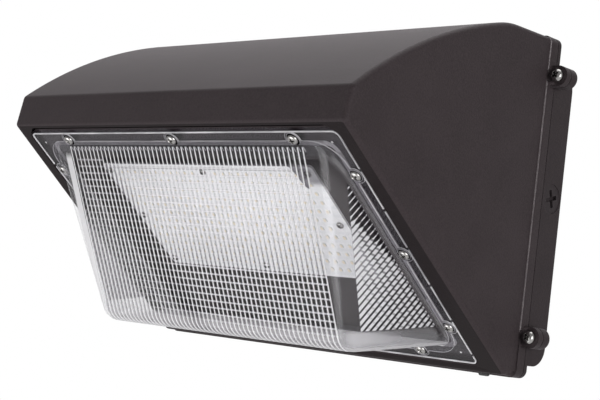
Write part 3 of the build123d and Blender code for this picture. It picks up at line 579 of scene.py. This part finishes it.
def lathe(name, profile, sides, unit=1.0):
    """A closed solid of revolution about Z from (radius, height) points, the topmost first."""
    shell = bmesh.new()
    turns = [2 * pi * k / sides for k in range(sides)]
    loops = [
        [shell.verts.new((r * cos(turn) * unit, r * sin(turn) * unit, z * unit)) for turn in turns]
        for r, z in profile
    ]
    for upper, lower in zip(loops, loops[1:]):
        for k in range(sides):
            shell.faces.new((upper[k], lower[k], lower[(k + 1) % sides], upper[(k + 1) % sides]))
    shell.faces.new(loops[0])
    shell.faces.new(loops[-1][::-1])
    return from_shell(name, turn_outward(shell))


def smooth(piece, angle):
    mesh = piece.data
    mesh.polygons.foreach_set("use_smooth", [True] * len(mesh.polygons))
    mesh.set_sharp_from_angle(angle=radians(angle))
    return piece


def plain(piece):
    """Makes the modifiers' result the piece's own mesh."""
    graph = bpy.context.evaluated_depsgraph_get()
    mesh = bpy.data.meshes.new_from_object(piece.evaluated_get(graph))
    mesh.name = piece.data.name
    piece.modifiers.clear()
    piece.data = mesh
    return piece


def modified(piece, kind, **settings):
    """Gives a piece a modifier."""
    modifier = piece.modifiers.new(kind, kind)
    for name, value in settings.items():
        setattr(modifier, name, value)
    return piece


def cut(piece, cutter, **settings):
    """Cuts another piece out of this one, and drops it."""
    plain(modified(piece, "BOOLEAN", object=cutter, solver="EXACT", **settings))
    drop(cutter)


def bevelled(piece, width):
    sizes = {"width": width * MM, "segments": 1, "limit_method": "ANGLE", "angle_limit": radians(60)}
    return plain(modified(piece, "BEVEL", **sizes))


def place(piece, body, node):
    """Parents a piece to the empty of the body it rides and hides the CAD node it stands for."""
    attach(piece, body)
    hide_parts(node)
    return piece


def merge(shell, piece, first_slot):
    """Moves a piece's mesh into a bmesh, with its materials counted from a slot."""
    before = len(shell.faces)
    shell.from_mesh(piece.data)
    shell.faces.ensure_lookup_table()
    for face in shell.faces[before:]:
        face.material_index += first_slot
    drop(piece)


def join(name, pieces, body, node):
    """Joins meshes into one piece that stands for a CAD node."""
    shell = bmesh.new()
    materials = []
    for piece in pieces:
        own = list(piece.data.materials)
        merge(shell, piece, len(materials))
        materials += own
    return place(from_shell(name, shell, *materials), body, node)


class Tree(Graph):
    """A Geometry Nodes tree with named sizes."""

    def __init__(self, name):
        self.tree = bpy.data.node_groups.new(name, "GeometryNodeTree")
        for side in ("INPUT", "OUTPUT"):
            self.tree.interface.new_socket("Geometry", in_out=side, socket_type="NodeSocketGeometry")
        self.entry = self.tree.nodes.new("NodeGroupInput").outputs
        self.values = {}

    def size(self, name, value, kind="NodeSocketFloat"):
        socket = self.tree.interface.new_socket(name, in_out="INPUT", socket_type=kind)
        self.values[socket.identifier] = value
        return self.entry[name]

    def math(self, operation, first, second=0.0):
        return self.node("ShaderNodeMath", {"operation": operation}, {0: first, 1: second})

    def attribute(self, name, kind="FLOAT"):
        return self.node("GeometryNodeInputNamedAttribute", {"data_type": kind}, {"Name": name})

    def made(self, geometry, host, name, material):
        """Runs the tree on a mesh and returns the result as a plain piece."""
        real = self.node("GeometryNodeRealizeInstances", {}, {"Geometry": geometry})
        real = self.node("GeometryNodeSetMaterial", {}, {"Geometry": real, "Material": material})
        self.node("NodeGroupOutput", {}, {"Geometry": real})
        modified(host, "NODES", node_group=self.tree)
        for identifier, value in self.values.items():
            host.modifiers[0][identifier] = value
        piece = plain(host)
        piece.name = piece.data.name = name
        return piece


def press_ridges(piece, depth, material):
    """Presses the valleys between ridges into a skin that carries its own ridge counts."""
    tree = Tree("moulded_ridges")
    valley = tree.size("Valley depth", depth * MM)
    centred = tree.math("SUBTRACT", tree.math("FRACT", tree.attribute("ridge")), 0.5)
    sunk = tree.math("MULTIPLY", tree.math("MULTIPLY", centred, centred), 4.0)
    amount = tree.math("MULTIPLY", tree.math("MULTIPLY", sunk, valley), tree.attribute("ridge_on"))
    inward = {0: tree.attribute("inward", "FLOAT_VECTOR"), "Scale": amount}
    offset = tree.node("ShaderNodeVectorMath", {"operation": "SCALE"}, inward)
    moved = tree.node("GeometryNodeSetPosition", {}, {"Geometry": tree.entry["Geometry"], "Offset": offset})
    return tree.made(moved, piece, piece.name + "_ridged", material)


def scatter(name, model, places, tilt, material, spin=0.0):
    """Puts a copy of a model on each place, all tilted alike, each turned a little further."""
    tree = Tree(name)
    lean = tree.size("Lean", tilt, "NodeSocketVector")
    step = tree.size("Turn between neighbours", spin)
    turn = tree.math("MULTIPLY", tree.node("GeometryNodeInputIndex"), step)
    own = tree.node("ShaderNodeCombineXYZ", {}, {"Z": turn})
    spun = tree.node("FunctionNodeRotateEuler", {"space": "LOCAL"}, {"Rotation": lean, "Rotate By": own})
    shape = tree.node("GeometryNodeObjectInfo", {"transform_space": "ORIGINAL"}, {"Object": model}, "Geometry")
    sockets = {"Points": tree.entry["Geometry"], "Instance": shape, "Rotation": spun}
    copies = tree.node("GeometryNodeInstanceOnPoints", {}, sockets)
    return tree.made(copies, mesh_object(name + "_places", places, []), name, material)


# ---- lens ----
def dome_skin(name, inset, outside, material):
    """One skin of the dome with its ridges, and the shape of its grid."""
    if outside:
        front = np.linspace(0, FRONT_LENGTH - 22, 26)
        nose = np.linspace(FRONT_LENGTH - 21, FRONT_LENGTH + 3, 22)
        rows = np.concatenate([front, nose, np.linspace(FRONT_LENGTH + 4.4, LAST_ROW, 16)])
        middle = np.arange(-2 * FLUTES, 2 * FLUTES + 1) / (2 * FLUTES)
        outer = 1 + np.concatenate([np.linspace(0.08, 0.5, 8), np.linspace(0.52, 1, 64)])
    else:
        rows = np.append(np.arange(0, LAST_ROW, RIB_PITCH / cos(DOME_FRONT) / 6), LAST_ROW)
        middle = np.linspace(-1, 1, 13)
        outer = 1 + np.concatenate([np.linspace(0.06, 0.46, 9), np.linspace(0.49, 1, 54)])
    columns = np.concatenate([-outer[::-1], middle, outer])
    across, along, behind = skin(np.unique(np.clip(rows, FIRST_ROW, None)), columns, inset)
    down, out = front_to_slope(along, behind)
    points = skin_points(across, along, behind)
    piece = mesh_object(name, points.reshape(-1, 3), grid_faces(*across.shape, not outside))
    from_under = above_under(down, out)
    on_side = soft_step(side_reach(across, out), DOME_HALF - 4, DOME_HALF - 3.2) * soft_step(behind, 10, 12)
    on_side = on_side * soft_step(from_under, 14, 16) * soft_step(out, 2.4, 3.4)
    fluted = (1 - soft_step(np.abs(across), FLUTED_HALF - 0.2, FLUTED_HALF + 0.2)) * soft_step(out, 0.6, 2.0)
    # the 100 keeps every count above zero
    if outside:
        ridge = np.where(on_side > 0, out / LEDGE_PITCH, across / FLUTE_PITCH + 100)
        ridge_on = np.maximum(on_side * 0.8, fluted)
    else:
        ridge = np.where(on_side > 0, side_count(down, out), rib_count(down)) + 100
        ribbed = soft_step(down, RIB_FIRST - 3, RIB_FIRST - 1) * soft_step(from_under, 10, 14)
        ridge_on = np.maximum(on_side, fluted * ribbed)
    inward = skin_facing(across, along, behind) * (-1 if outside else 1)
    for label, kind, key, values in (
        ("ridge", "FLOAT", "value", ridge),
        ("ridge_on", "FLOAT", "value", ridge_on),
        ("inward", "FLOAT_VECTOR", "vector", inward),
    ):
        attribute = piece.data.attributes.new(label, kind, "POINT")
        attribute.data.foreach_set(key, values.ravel().astype(np.float32))
    return press_ridges(piece, RIDGE_DEPTH, material), across.shape


def stitch(shell, first, second, key):
    """Joins two closed outlines with triangles, both walked in the order of one key."""

    def ordered(loop):
        keys = [key(vert) for vert in loop]
        start = keys.index(min(keys))
        turned = loop[start:] + loop[:start]
        forward = key(turned[1]) < key(turned[-1])
        return turned if forward else [turned[0]] + turned[:0:-1]

    def following(loop, i):
        return key(loop[i + 1]) if i + 1 < len(loop) else (pi if i < len(loop) else 9)

    a, b = ordered(first), ordered(second)
    i = j = 0
    while i < len(a) or j < len(b):
        corner = [a[i % len(a)], b[j % len(b)]]
        if i >= len(a) or (j < len(b) and following(b, j) < following(a, i)):
            j += 1
            corner.append(b[j % len(b)])
        else:
            i += 1
            corner.append(a[i % len(a)])
        if len(set(corner)) == 3 and not shell.faces.get(corner):
            shell.faces.new(corner)


def make_dome():
    """The dome as one closed shell: both skins, joined round the foot."""
    finishes = clear_dome("clear_fluted_outside", True), clear_dome("clear_ribbed_inside", False)
    outer, outer_shape = dome_skin("dome_outer", 0.0, True, finishes[0])
    inner, inner_shape = dome_skin("dome_inner", DOME_WALL, False, finishes[1])
    shell = bmesh.new()
    merge(shell, outer, 0)
    count = len(shell.verts)
    merge(shell, inner, 1)
    shell.verts.ensure_lookup_table()
    outer_border = [shell.verts[i] for i in border(*outer_shape, 0)]
    inner_border = [shell.verts[i] for i in border(*inner_shape, count)]

    def angle_of(vert):
        """The way to a place from the dome's middle, evened out over its length and width."""
        spot = vert.co / MM - SLOPE_TOP
        return atan2((spot.dot(DOWN) - 108) / 95, spot.dot(ACROSS) / 148)

    stitch(shell, outer_border, inner_border, angle_of)
    bmesh.ops.remove_doubles(shell, verts=shell.verts, dist=1.5e-6)
    bmesh.ops.dissolve_degenerate(shell, edges=shell.edges, dist=1.5e-6)
    return smooth(from_shell("dome", turn_outward(shell), *finishes), 50)


def flat_plate(low, high, *outlines):
    """A flat closed plate on the slope: its outline, then the outlines of its openings."""
    triangles = tessellate_polygon([[Vector((x, down, 0)) for x, down in outline] for outline in outlines])
    flat = [point for outline in outlines for point in outline]
    total = len(flat)
    points = [on_slope(x, down, out) for out in (high, low) for x, down in flat]
    faces = [tuple(tri) for tri in triangles] + [tuple(total + i for i in reversed(tri)) for tri in triangles]
    start = 0
    for outline in outlines:
        count = len(outline)
        for i in range(count):
            a, b = start + i, start + (i + 1) % count
            faces.append((a, b, total + b, total + a))
        start += count
    return points, faces


def arc(x, down, radius, start, end, steps):
    """Points of (across, down) on an arc, from one end to the other."""
    turns = [start + (end - start) * step / steps for step in range(steps + 1)]
    return [(x + radius * cos(turn), down + radius * sin(turn)) for turn in turns]


def circle(middle, radius, steps=20):
    return arc(*middle, radius, 0, 2 * pi, steps)[:-1]


def rounded_rectangle(inset):
    """The flange's outline, an inset inside its edge, once round."""
    radius = FLANGE_CORNER - inset
    right, left = FLANGE_WIDTH / 2 - inset - radius, inset + radius - FLANGE_WIDTH / 2
    top, low = inset + radius, FLANGE_LENGTH - inset - radius
    outline = []
    for x, down, turn in ((right, top, -pi / 2), (right, low, 0), (left, low, pi / 2), (left, top, pi)):
        outline += arc(x, down, radius, turn, turn + pi / 2, 8)
    return outline


def between(first, second, share):
    (x0, d0), (x1, d1) = first, second
    return x0 + (x1 - x0) * share, d0 + (d1 - d0) * share


def rim_bars():
    """The raised rim on the flange's edge, in runs with a small gap every 35 mm up both sides."""
    pairs = list(zip(rounded_rectangle(RIM_INSET), rounded_rectangle(RIM_INSET + RIM_WIDTH)))
    runs = [[]]
    for start, end in zip(pairs, pairs[1:] + pairs[:1]):
        runs[-1].append(start)
        (x0, d0), (x1, d1) = start[0], end[0]
        length = hypot(x1 - x0, d1 - d0)
        if length < 10 or abs(x1 - x0) > 1:
            continue
        cuts = [RIM_GAP_FIRST + RIM_GAP_PITCH * k for k in range(RIM_GAPS)]
        if d1 < d0:
            cuts = [length - cut for cut in reversed(cuts)]
        for cut in cuts:
            for reach in (cut - RIM_GAP / 2, cut + RIM_GAP / 2):
                if reach > cut:
                    runs.append([])
                runs[-1].append(tuple(between(a, b, reach / length) for a, b in zip(start, end)))
    runs[0] = runs.pop() + runs[0]
    profile = [(0, 0), (0, 0.8), (1 / 3, 1), (3 / 4, 1), (1, 0.5), (1, 0)]
    sides = len(profile)
    points, faces = [], []
    for run in runs:
        first = len(points)
        points += [on_slope(*between(*pair, share), RAISED * rise) for pair in run for share, rise in profile]
        for k in range(len(run) - 1):
            for side in range(sides):
                a, b = first + sides * k + side, first + sides * k + (side + 1) % sides
                faces.append((a, b, b + sides, a + sides))
        faces.append(tuple(range(first + sides - 1, first - 1, -1)))
        faces.append(tuple(range(len(points) - sides, len(points))))
    return points, faces


def land_outline():
    """The raised land's outer edge: a line inside the flange's edge that swells round each screw."""
    swell = LAND_SWELL
    half, end = FLANGE_WIDTH / 2 - LAND_INSET, FLANGE_LENGTH - LAND_INSET
    corners = [(half, LAND_INSET), (half, end), (-half, end), (-half, LAND_INSET)]
    outline = []
    for (x0, d0), (x1, d1) in zip(corners, corners[1:] + corners[:1]):
        length = hypot(x1 - x0, d1 - d0)
        ahead = Vector(((x1 - x0) / length, (d1 - d0) / length))
        outward = Vector((ahead.y, -ahead.x))
        places = [(LAND_CORNER, 0.0)]
        spots = [
            ((x - x0) * ahead.x + (down - d0) * ahead.y, (x - x0) * outward.x + (down - d0) * outward.y)
            for x, down in LENS_SCREWS
        ]
        for reach, lift in sorted(spots):
            if abs(lift) < swell < reach < length - swell:
                half_chord = sqrt(swell**2 - lift**2)
                first, last = atan2(-lift, -half_chord), atan2(-lift, half_chord)
                first = first if first > 0 else first + 2 * pi
                places += arc(reach, lift, swell, first, last, 12)
        places += arc(length - LAND_CORNER, -LAND_CORNER, LAND_CORNER, pi / 2, 0, 8)
        for reach, lift in places:
            point = Vector((x0, d0)) + ahead * reach + outward * lift
            outline.append((point.x, point.y))
    return outline


def dome_outline(inset):
    """The dome's outline on the flange, once round."""
    rows = np.linspace(FIRST_ROW, LAST_ROW, 40)
    edge = edge_at(rows, inset)
    down = DOME_START + rows / cos(DOME_FRONT)
    right = list(zip(edge[edge > 1], down[edge > 1]))
    return right + [(-x, d) for x, d in reversed(right)]


def edge_lit(part, face_finish, edge_finish, all_bright=False):
    """Gives the upright faces away from the dome the second finish, or all faces if all_bright."""
    part.data.materials.append(face_finish)
    part.data.materials.append(edge_finish)
    for face in part.data.polygons:
        middle = face.center / MM - SLOPE_TOP
        along = (middle.dot(DOWN) - DOME_START) / cos(DOME_FRONT)
        inside = dome_distance(middle.x, np.float64(along), along * tan(DOME_FRONT)) < 0.8
        face.material_index = int(all_bright or abs(face.normal.dot(OUT)) < 0.9 and not inside)
    return part


def make_lens():
    dome = make_dome()
    flange_finish = clear_flange()
    edge_finish = bright_edge("clear_bright_edge", 0.5, 0.35)
    wells = [circle(spot, SIDE_WELL_RADIUS if abs(spot[0]) > 150 else WELL_RADIUS) for spot in LENS_SCREWS]
    flange = solid("flange", *flat_plate(-FLANGE_THICKNESS, 0.0, rounded_rectangle(0), dome_outline(DOME_WALL)))
    land = solid("land", *flat_plate(0.0, RAISED, land_outline(), dome_outline(-0.2), *wells))
    rim = solid("rim", *rim_bars())
    pieces = [
        dome,
        smooth(edge_lit(bevelled(flange, 0.2), flange_finish, flange_finish), 30),
        # the land's upright edges, the rim and the marks take painted highlights
        smooth(edge_lit(bevelled(land, 0.4), flange_finish, edge_finish), 30),
        smooth(edge_lit(rim, flange_finish, bright_edge("clear_bright_rim", 0.42, 0.5), True), 30),
    ]
    for spot in MARKS:
        mark = solid("mark", *flat_plate(0.0, 0.2, circle(spot, MARK_RADIUS, 10)))
        pieces.append(edge_lit(mark, flange_finish, edge_finish, True))
    for well, spot in zip(wells, LENS_SCREWS):
        # a near-black ring round each screw: painted shadow of its counterbore
        gap = solid("gap", *flat_plate(0.0, 0.06, well, circle(spot, WELL_SHADOW_RADIUS)))
        pieces.append(edge_lit(gap, shadow_gap, shadow_gap))
    join("lens_moulding", pieces, "door", "lens")


# ---- castings and other pieces carried over from the CAD model ----
def dress(node, body, material, groove_form=None):
    """A merged, smoothly shaded copy of a CAD node with its own finish."""
    shell = bmesh.new()
    shell.from_mesh(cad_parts[node].data)
    bmesh.ops.remove_doubles(shell, verts=shell.verts, dist=2e-6)
    bmesh.ops.dissolve_limit(
        shell, angle_limit=radians(0.4), use_dissolve_boundaries=False, verts=shell.verts, edges=shell.edges
    )
    piece = from_shell(node + "_skin", shell, material)
    if groove_form:
        # the groove's walls and floor take the near-black finish: painted shadow
        piece.data.materials.append(shadow_gap)
        cut(piece, groove_form, material_mode="TRANSFER")
    modified(smooth(piece, 32), "WEIGHTED_NORMAL", keep_sharp=True, weight=60)
    return place(piece, body, node)


def coat_faces(piece, finish, chosen):
    """Gives the faces that are chosen by middle and normal a finish of their own."""
    index = len(piece.data.materials)
    piece.data.materials.append(finish)
    for face in piece.data.polygons:
        if face.material_index == 0 and chosen(face.center / MM, face.normal):
            face.material_index = index


def on_frame(middle, normal):
    """The flat frame round the lens flange, which takes a darker coat as painted shade."""
    return normal.dot(OUT) > 0.97 and abs((middle - SLOPE_TOP).dot(OUT) - FRAME_RISE) < 0.3


def on_ledge(middle, normal):
    """The narrow step on the hood's sides, in front of its rear strip, which takes a lighter coat as a painted
    highlight.
    """
    return normal.y < -0.97 and abs(middle.y - LEDGE_Y) < 0.2 and abs(middle.x) > LEDGE_FROM


# ---- screws ----
def screw_mesh(name, head, height, shank, length, turn):
    """A pan head with a tapered cross recess, on a smooth shank with a chamfered end."""
    radius = head / 2
    dome = [(0.02, 1), (0.30, 0.985), (0.55, 0.93), (0.76, 0.82), (0.90, 0.64), (0.98, 0.38), (1, 0.14)]
    profile = [(radius * across, height * up) for across, up in dome]
    profile += [(radius * 0.985, SEAT_GAP), (shank / 2, SEAT_GAP)]
    profile += [(shank / 2, -length + shank * 0.2), (shank * 0.35, -length), (shank * 0.02, -length)]
    piece = lathe(name, profile, 40)
    cutter = cross_cutter(head * 0.33, head * 0.092, height)
    cutter.data.transform(Matrix.Rotation(turn, 4, "Z"))
    cut(piece, cutter)
    piece.data.transform(Matrix.Scale(MM, 4))
    return smooth(piece, 40)


def cross_cutter(reach, half_width, height):
    """A cross that narrows as it goes down."""
    outline = []
    for quarter in range(4):
        turn = Matrix.Rotation(quarter * pi / 2, 2)
        corner = [(half_width, -half_width), (reach, -half_width), (reach, half_width)]
        outline += [turn @ Vector(point) for point in corner]
    shell = bmesh.new()
    top, low = [
        [shell.verts.new((p.x * share, p.y * share, height * rise)) for p in outline]
        for share, rise in ((1.0, 1.2), (0.62, 0.12))
    ]
    shell.faces.new(top)
    shell.faces.new(low[::-1])
    for k in range(len(outline)):
        following = (k + 1) % len(outline)
        shell.faces.new((top[k], low[k], low[following], top[following]))
    return from_shell("recess", turn_outward(shell))


def thread_mesh(name, radius, low, high):
    """A threaded length: many small rings in a row, closed at both ends."""
    turns = int((high - low) / 0.8)
    profile = [(radius * 0.5, high)]
    for turn in range(turns):
        z = high - (high - low) * turn / turns
        profile += [(radius * 0.86, z), (radius, z - (high - low) / turns / 2)]
    profile += [(radius * 0.5, low)]
    return smooth(lathe(name, profile, 24, MM), 60)


def facing(across, up, out):
    """Rotation that lays a model's X, Y and Z along these directions."""
    return tuple(Matrix((across, up, out)).transposed().to_euler())


def make_screws():
    bright = satin_metal("stainless_bright", (0.42, 0.41, 0.40), 0.22)
    for name, node, sizes, places, out, spin in (
        ("lens_screw_set", "lens_screws", (8.0, 2.6, 4.0, 9.0, 0.5), LENS_SCREWS, 0.0, 1.3),
        ("board_screw_set", "led_board_screws", (5.6, 2.0, 3.0, 7.6, 0.2), BOARD_SCREWS, BOARD_FACE, 0.9),
    ):
        model = screw_mesh(name + "_model", *sizes)
        spots = [on_slope(x, down, out) for x, down in places]
        place(scatter(name, model, spots, TILT, bright, spin), "door", node)
        drop(model)
    turn = facing(ACROSS, Vector((0, 0, 1)), Vector((0, -1, 0)))
    for name, height in DOOR_SCREWS.items():
        spots = [Vector((DOOR_SCREW_X, DOOR_SCREW_SEAT, height)) * MM]
        models = screw_mesh("pan_head", 9.5, 4.3, 3.9, 12.7, 0.62), thread_mesh("thread", 2.5, -12.7, -5.7)
        pieces = [scatter(f"{name}_{model.name}", model, spots, turn, bright) for model in models]
        drop(*models)
        join(name + "_screw", pieces, name, name)


# ---- light source ----
def chip_places():
    places = []
    for column in range(CHIP_COLUMNS):
        x = (column - (CHIP_COLUMNS - 1) / 2) * CHIP_PITCH_ACROSS
        for row in range(CHIP_ROWS):
            down = BOARD_MIDDLE + (row - (CHIP_ROWS - 1) / 2) * CHIP_PITCH_DOWN
            if all(max(abs(x - sx), abs(down - sd)) > CHIP_CLEAR_OF_SCREW for sx, sd in BOARD_SCREWS):
                places.append(on_slope(x, down, BOARD_FACE))
    return places


def chip_mesh(name, length, width, low, high, taper):
    shell = bmesh.new()
    bmesh.ops.create_cube(shell, size=1.0)
    for vert in shell.verts:
        share, z = (taper, high) if vert.co.z > 0 else (1.0, low)
        vert.co = Vector((vert.co.x * length * share, vert.co.y * width * share, z)) * MM
    upright = [edge for edge in shell.edges if abs(edge.verts[0].co.z - edge.verts[1].co.z) > 1e-6]
    bmesh.ops.bevel(shell, geom=upright, offset=0.35 * MM, segments=1, affect="EDGES")
    return from_shell(name, turn_outward(shell))


def make_chips():
    body = chip_mesh("chip_body_model", 2.8, 3.5, 0.0, 0.6, 0.94)
    lens = chip_mesh("chip_phosphor_model", 2.1, 2.8, 0.5, 0.7, 0.9)
    white = moulded("chip_body_white", (0.8, 0.8, 0.78), 0.4)
    yellow = moulded("chip_phosphor", (0.91, 0.80, 0.60), 0.3)
    bodies = scatter("chip_bodies", body, chip_places(), TILT, white)
    tops = scatter("chip_tops", lens, chip_places(), TILT, yellow)
    drop(body, lens)
    join("led_chip_set", [bodies, tops], "door", "led_chips")


# ---- stage ----
FLOOR = -1.7
FLOOR_REACH = 9
PHOTO_WIDTH = 600
FOCAL_PIXELS = 1399.27
CAMERA_PLACE = (741.80, -852.21, -103.28)
CAMERA_TURN = (0.7660, -0.0879, 0.1229)
LAMPS = {
    "overhead_softbox": ((-0.15, 0.1, 1.5), (1.8, 1.4), 16.5),
    "front_fill": ((-0.5, -1.6, -0.95), (1.2, 1.2), 18),
    "right_fill": ((2.1, -0.7, -0.1), (1.3, 1.3), 30),
    "rear_fill": ((-0.9, 1.8, 0.1), (1.2, 1.2), 8),
}
LAMP_TARGET = Vector((0, -0.12, 0))


def studio_paper():
    """White paper that reads white to the camera and keeps the shadow."""
    paper = Finish("studio_paper")
    matt = paper.shader("BsdfDiffuse", Color=rgb(0.86, 0.86, 0.86))
    glow = paper.shader("Emission", Color=rgb(1, 1, 1), Strength=1.0)
    x, y = paper.along((1, 0, 0)), paper.along((0, 1, 0))
    far = (x * x + y * y).power(0.5).step(900, 2600)
    seen = paper.ray("Camera").at_least(paper.ray("Transmission"), paper.ray("Glossy") * 0.5)
    return paper.finish(paper.mix(seen * (0.8 + far * 0.2), matt, glow))


def make_stage():
    sky = Finish("studio", world=True)
    behind = (sky.along((-0.69, 0.72, 0.12)) * MM).step(0.1, 0.8)
    seen = sky.ray("Camera").at_least(sky.ray("Transmission"), sky.ray("Glossy") * behind)
    dim, full = [sky.shader("Background", Color=rgb(1, 1, 1), Strength=strength) for strength in (0.38, 1.0)]
    scene.world = sky.finish(sky.mix(seen, dim, full))
    corners = [(x * FLOOR_REACH, y * FLOOR_REACH, FLOOR) for x, y in ((-1, -1), (1, -1), (1, 1), (-1, 1))]
    mesh_object("studio_floor", corners, [(0, 1, 2, 3)], studio_paper())


def make_lights():
    for name, (position, size, power) in LAMPS.items():
        light = bpy.data.lights.new(name, "AREA")
        light.shape = "RECTANGLE"
        light.size, light.size_y = size
        light.energy = power
        lamp = link(name, light)
        lamp.location = position
        lamp.rotation_euler = (LAMP_TARGET - Vector(position)).to_track_quat("-Z", "Y").to_euler()


def make_camera():
    camera = bpy.data.cameras.new("camera")
    camera.sensor_width = 36
    camera.lens = FOCAL_PIXELS * camera.sensor_width / PHOTO_WIDTH
    camera.clip_start, camera.clip_end = 0.05, 50
    yaw, pitch, roll = CAMERA_TURN
    ahead = Vector((-sin(yaw) * cos(pitch), cos(yaw) * cos(pitch), -sin(pitch)))
    right = Vector((cos(yaw), sin(yaw), 0))
    up = right.cross(ahead)
    right_turned = cos(roll) * right + sin(roll) * up
    up_turned = -sin(roll) * right + cos(roll) * up
    rotation = Matrix((right_turned, up_turned, -ahead)).transposed()
    viewer = link("camera", camera)
    viewer.matrix_world = Matrix.Translation(Vector(CAMERA_PLACE) * MM) @ rotation.to_4x4()
    scene.camera = viewer


# ---- make everything ----
TILT = facing(ACROSS, -DOWN, OUT)
TOP_GROOVE = [(-158.5, -0.6), (-152, -5.6), (152, -5.6), (158.5, -0.6), (150, 2.0), (-150, 2.0)]
GROOVE_DEPTH = (-3.1, 3.0)

make_camera()
make_stage()
make_lights()
bronze = powder_coat("bronze_powder_coat", (0.030, 0.0235, 0.025))
# a darker copy of the bronze coat: painted shade on the back box
box_painted_shade = powder_coat("bronze_box_coat", (0.025, 0.0196, 0.0208), sheen=0.07)
# a darker, duller copy of the bronze coat: painted shade on the down-facing frame
frame_painted_shade = powder_coat("bronze_frame_coat", (0.013, 0.010, 0.0105), sheen=0.0, specular=0.11)
# a far lighter copy of the bronze coat: painted highlight along the hood's side ledges
ledge_painted_highlight = powder_coat("bronze_rubbed_edge", (0.175, 0.158, 0.162))
plug_bronze = powder_coat("bronze_plug_coat", (0.027, 0.022, 0.0235), 0.25)
# near-black finish: painted shadow inside the groove above the lens flange and in rings round the lens screws
shadow_gap = moulded("dark_gap", (0.002, 0.002, 0.002), 0.8, 0.0)
silicone = moulded("silicone_seal", (0.5, 0.5, 0.49), 0.5)
black_rubber = moulded("black_rubber", (0.02, 0.02, 0.02), 0.5)
dull_steel = satin_metal("stainless_dull", (0.62, 0.61, 0.59), 0.34)
zinc = satin_metal("zinc_plate", (0.6, 0.6, 0.58), 0.4, 6.0)

dress("back_box", "box", box_painted_shade)
# a groove along the top of the lens flange, finished in painted shadow
groove_form = solid("groove_form", *flat_plate(*GROOVE_DEPTH, TOP_GROOVE), shadow_gap)
housing = dress("front_housing", "door", bronze, groove_form)
coat_faces(housing, frame_painted_shade, on_frame)
coat_faces(housing, ledge_painted_highlight, on_ledge)
for side in ("right", "left"):
    dress("conduit_plug_" + side, "box", plug_bronze)
dress("led_driver", "door", moulded("driver_paint", (0.53, 0.54, 0.55), 0.42))
make_lens()
make_screws()
make_chips()
for material, nodes in (
    (solder_mask(), ["led_board"]),
    (silicone, ["lens_gasket", "door_gasket"]),
    (black_rubber, ["lead_grommet", "drain_plug"]),
    (moulded("lead_insulation", (0.42, 0.03, 0.02), 0.35), ["dc_leads"]),
    (moulded("terminal_plastic", (0.74, 0.73, 0.69), 0.45), ["terminal_block"]),
    (satin_metal("green_ground_screw", (0.05, 0.36, 0.12), 0.35), ["ground_screw"]),
    (zinc, ["ground_washer", "driver_base_plate"]),
    (dull_steel, ["terminal_screws", "driver_screws", "hinge_pin_upper", "hinge_pin_lower", "hinge_pin_clips"]),
):
    for node in nodes:
        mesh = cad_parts[node].data
        mesh.materials.clear()
        mesh.materials.append(material)

scene.view_settings.view_transform = "Standard"
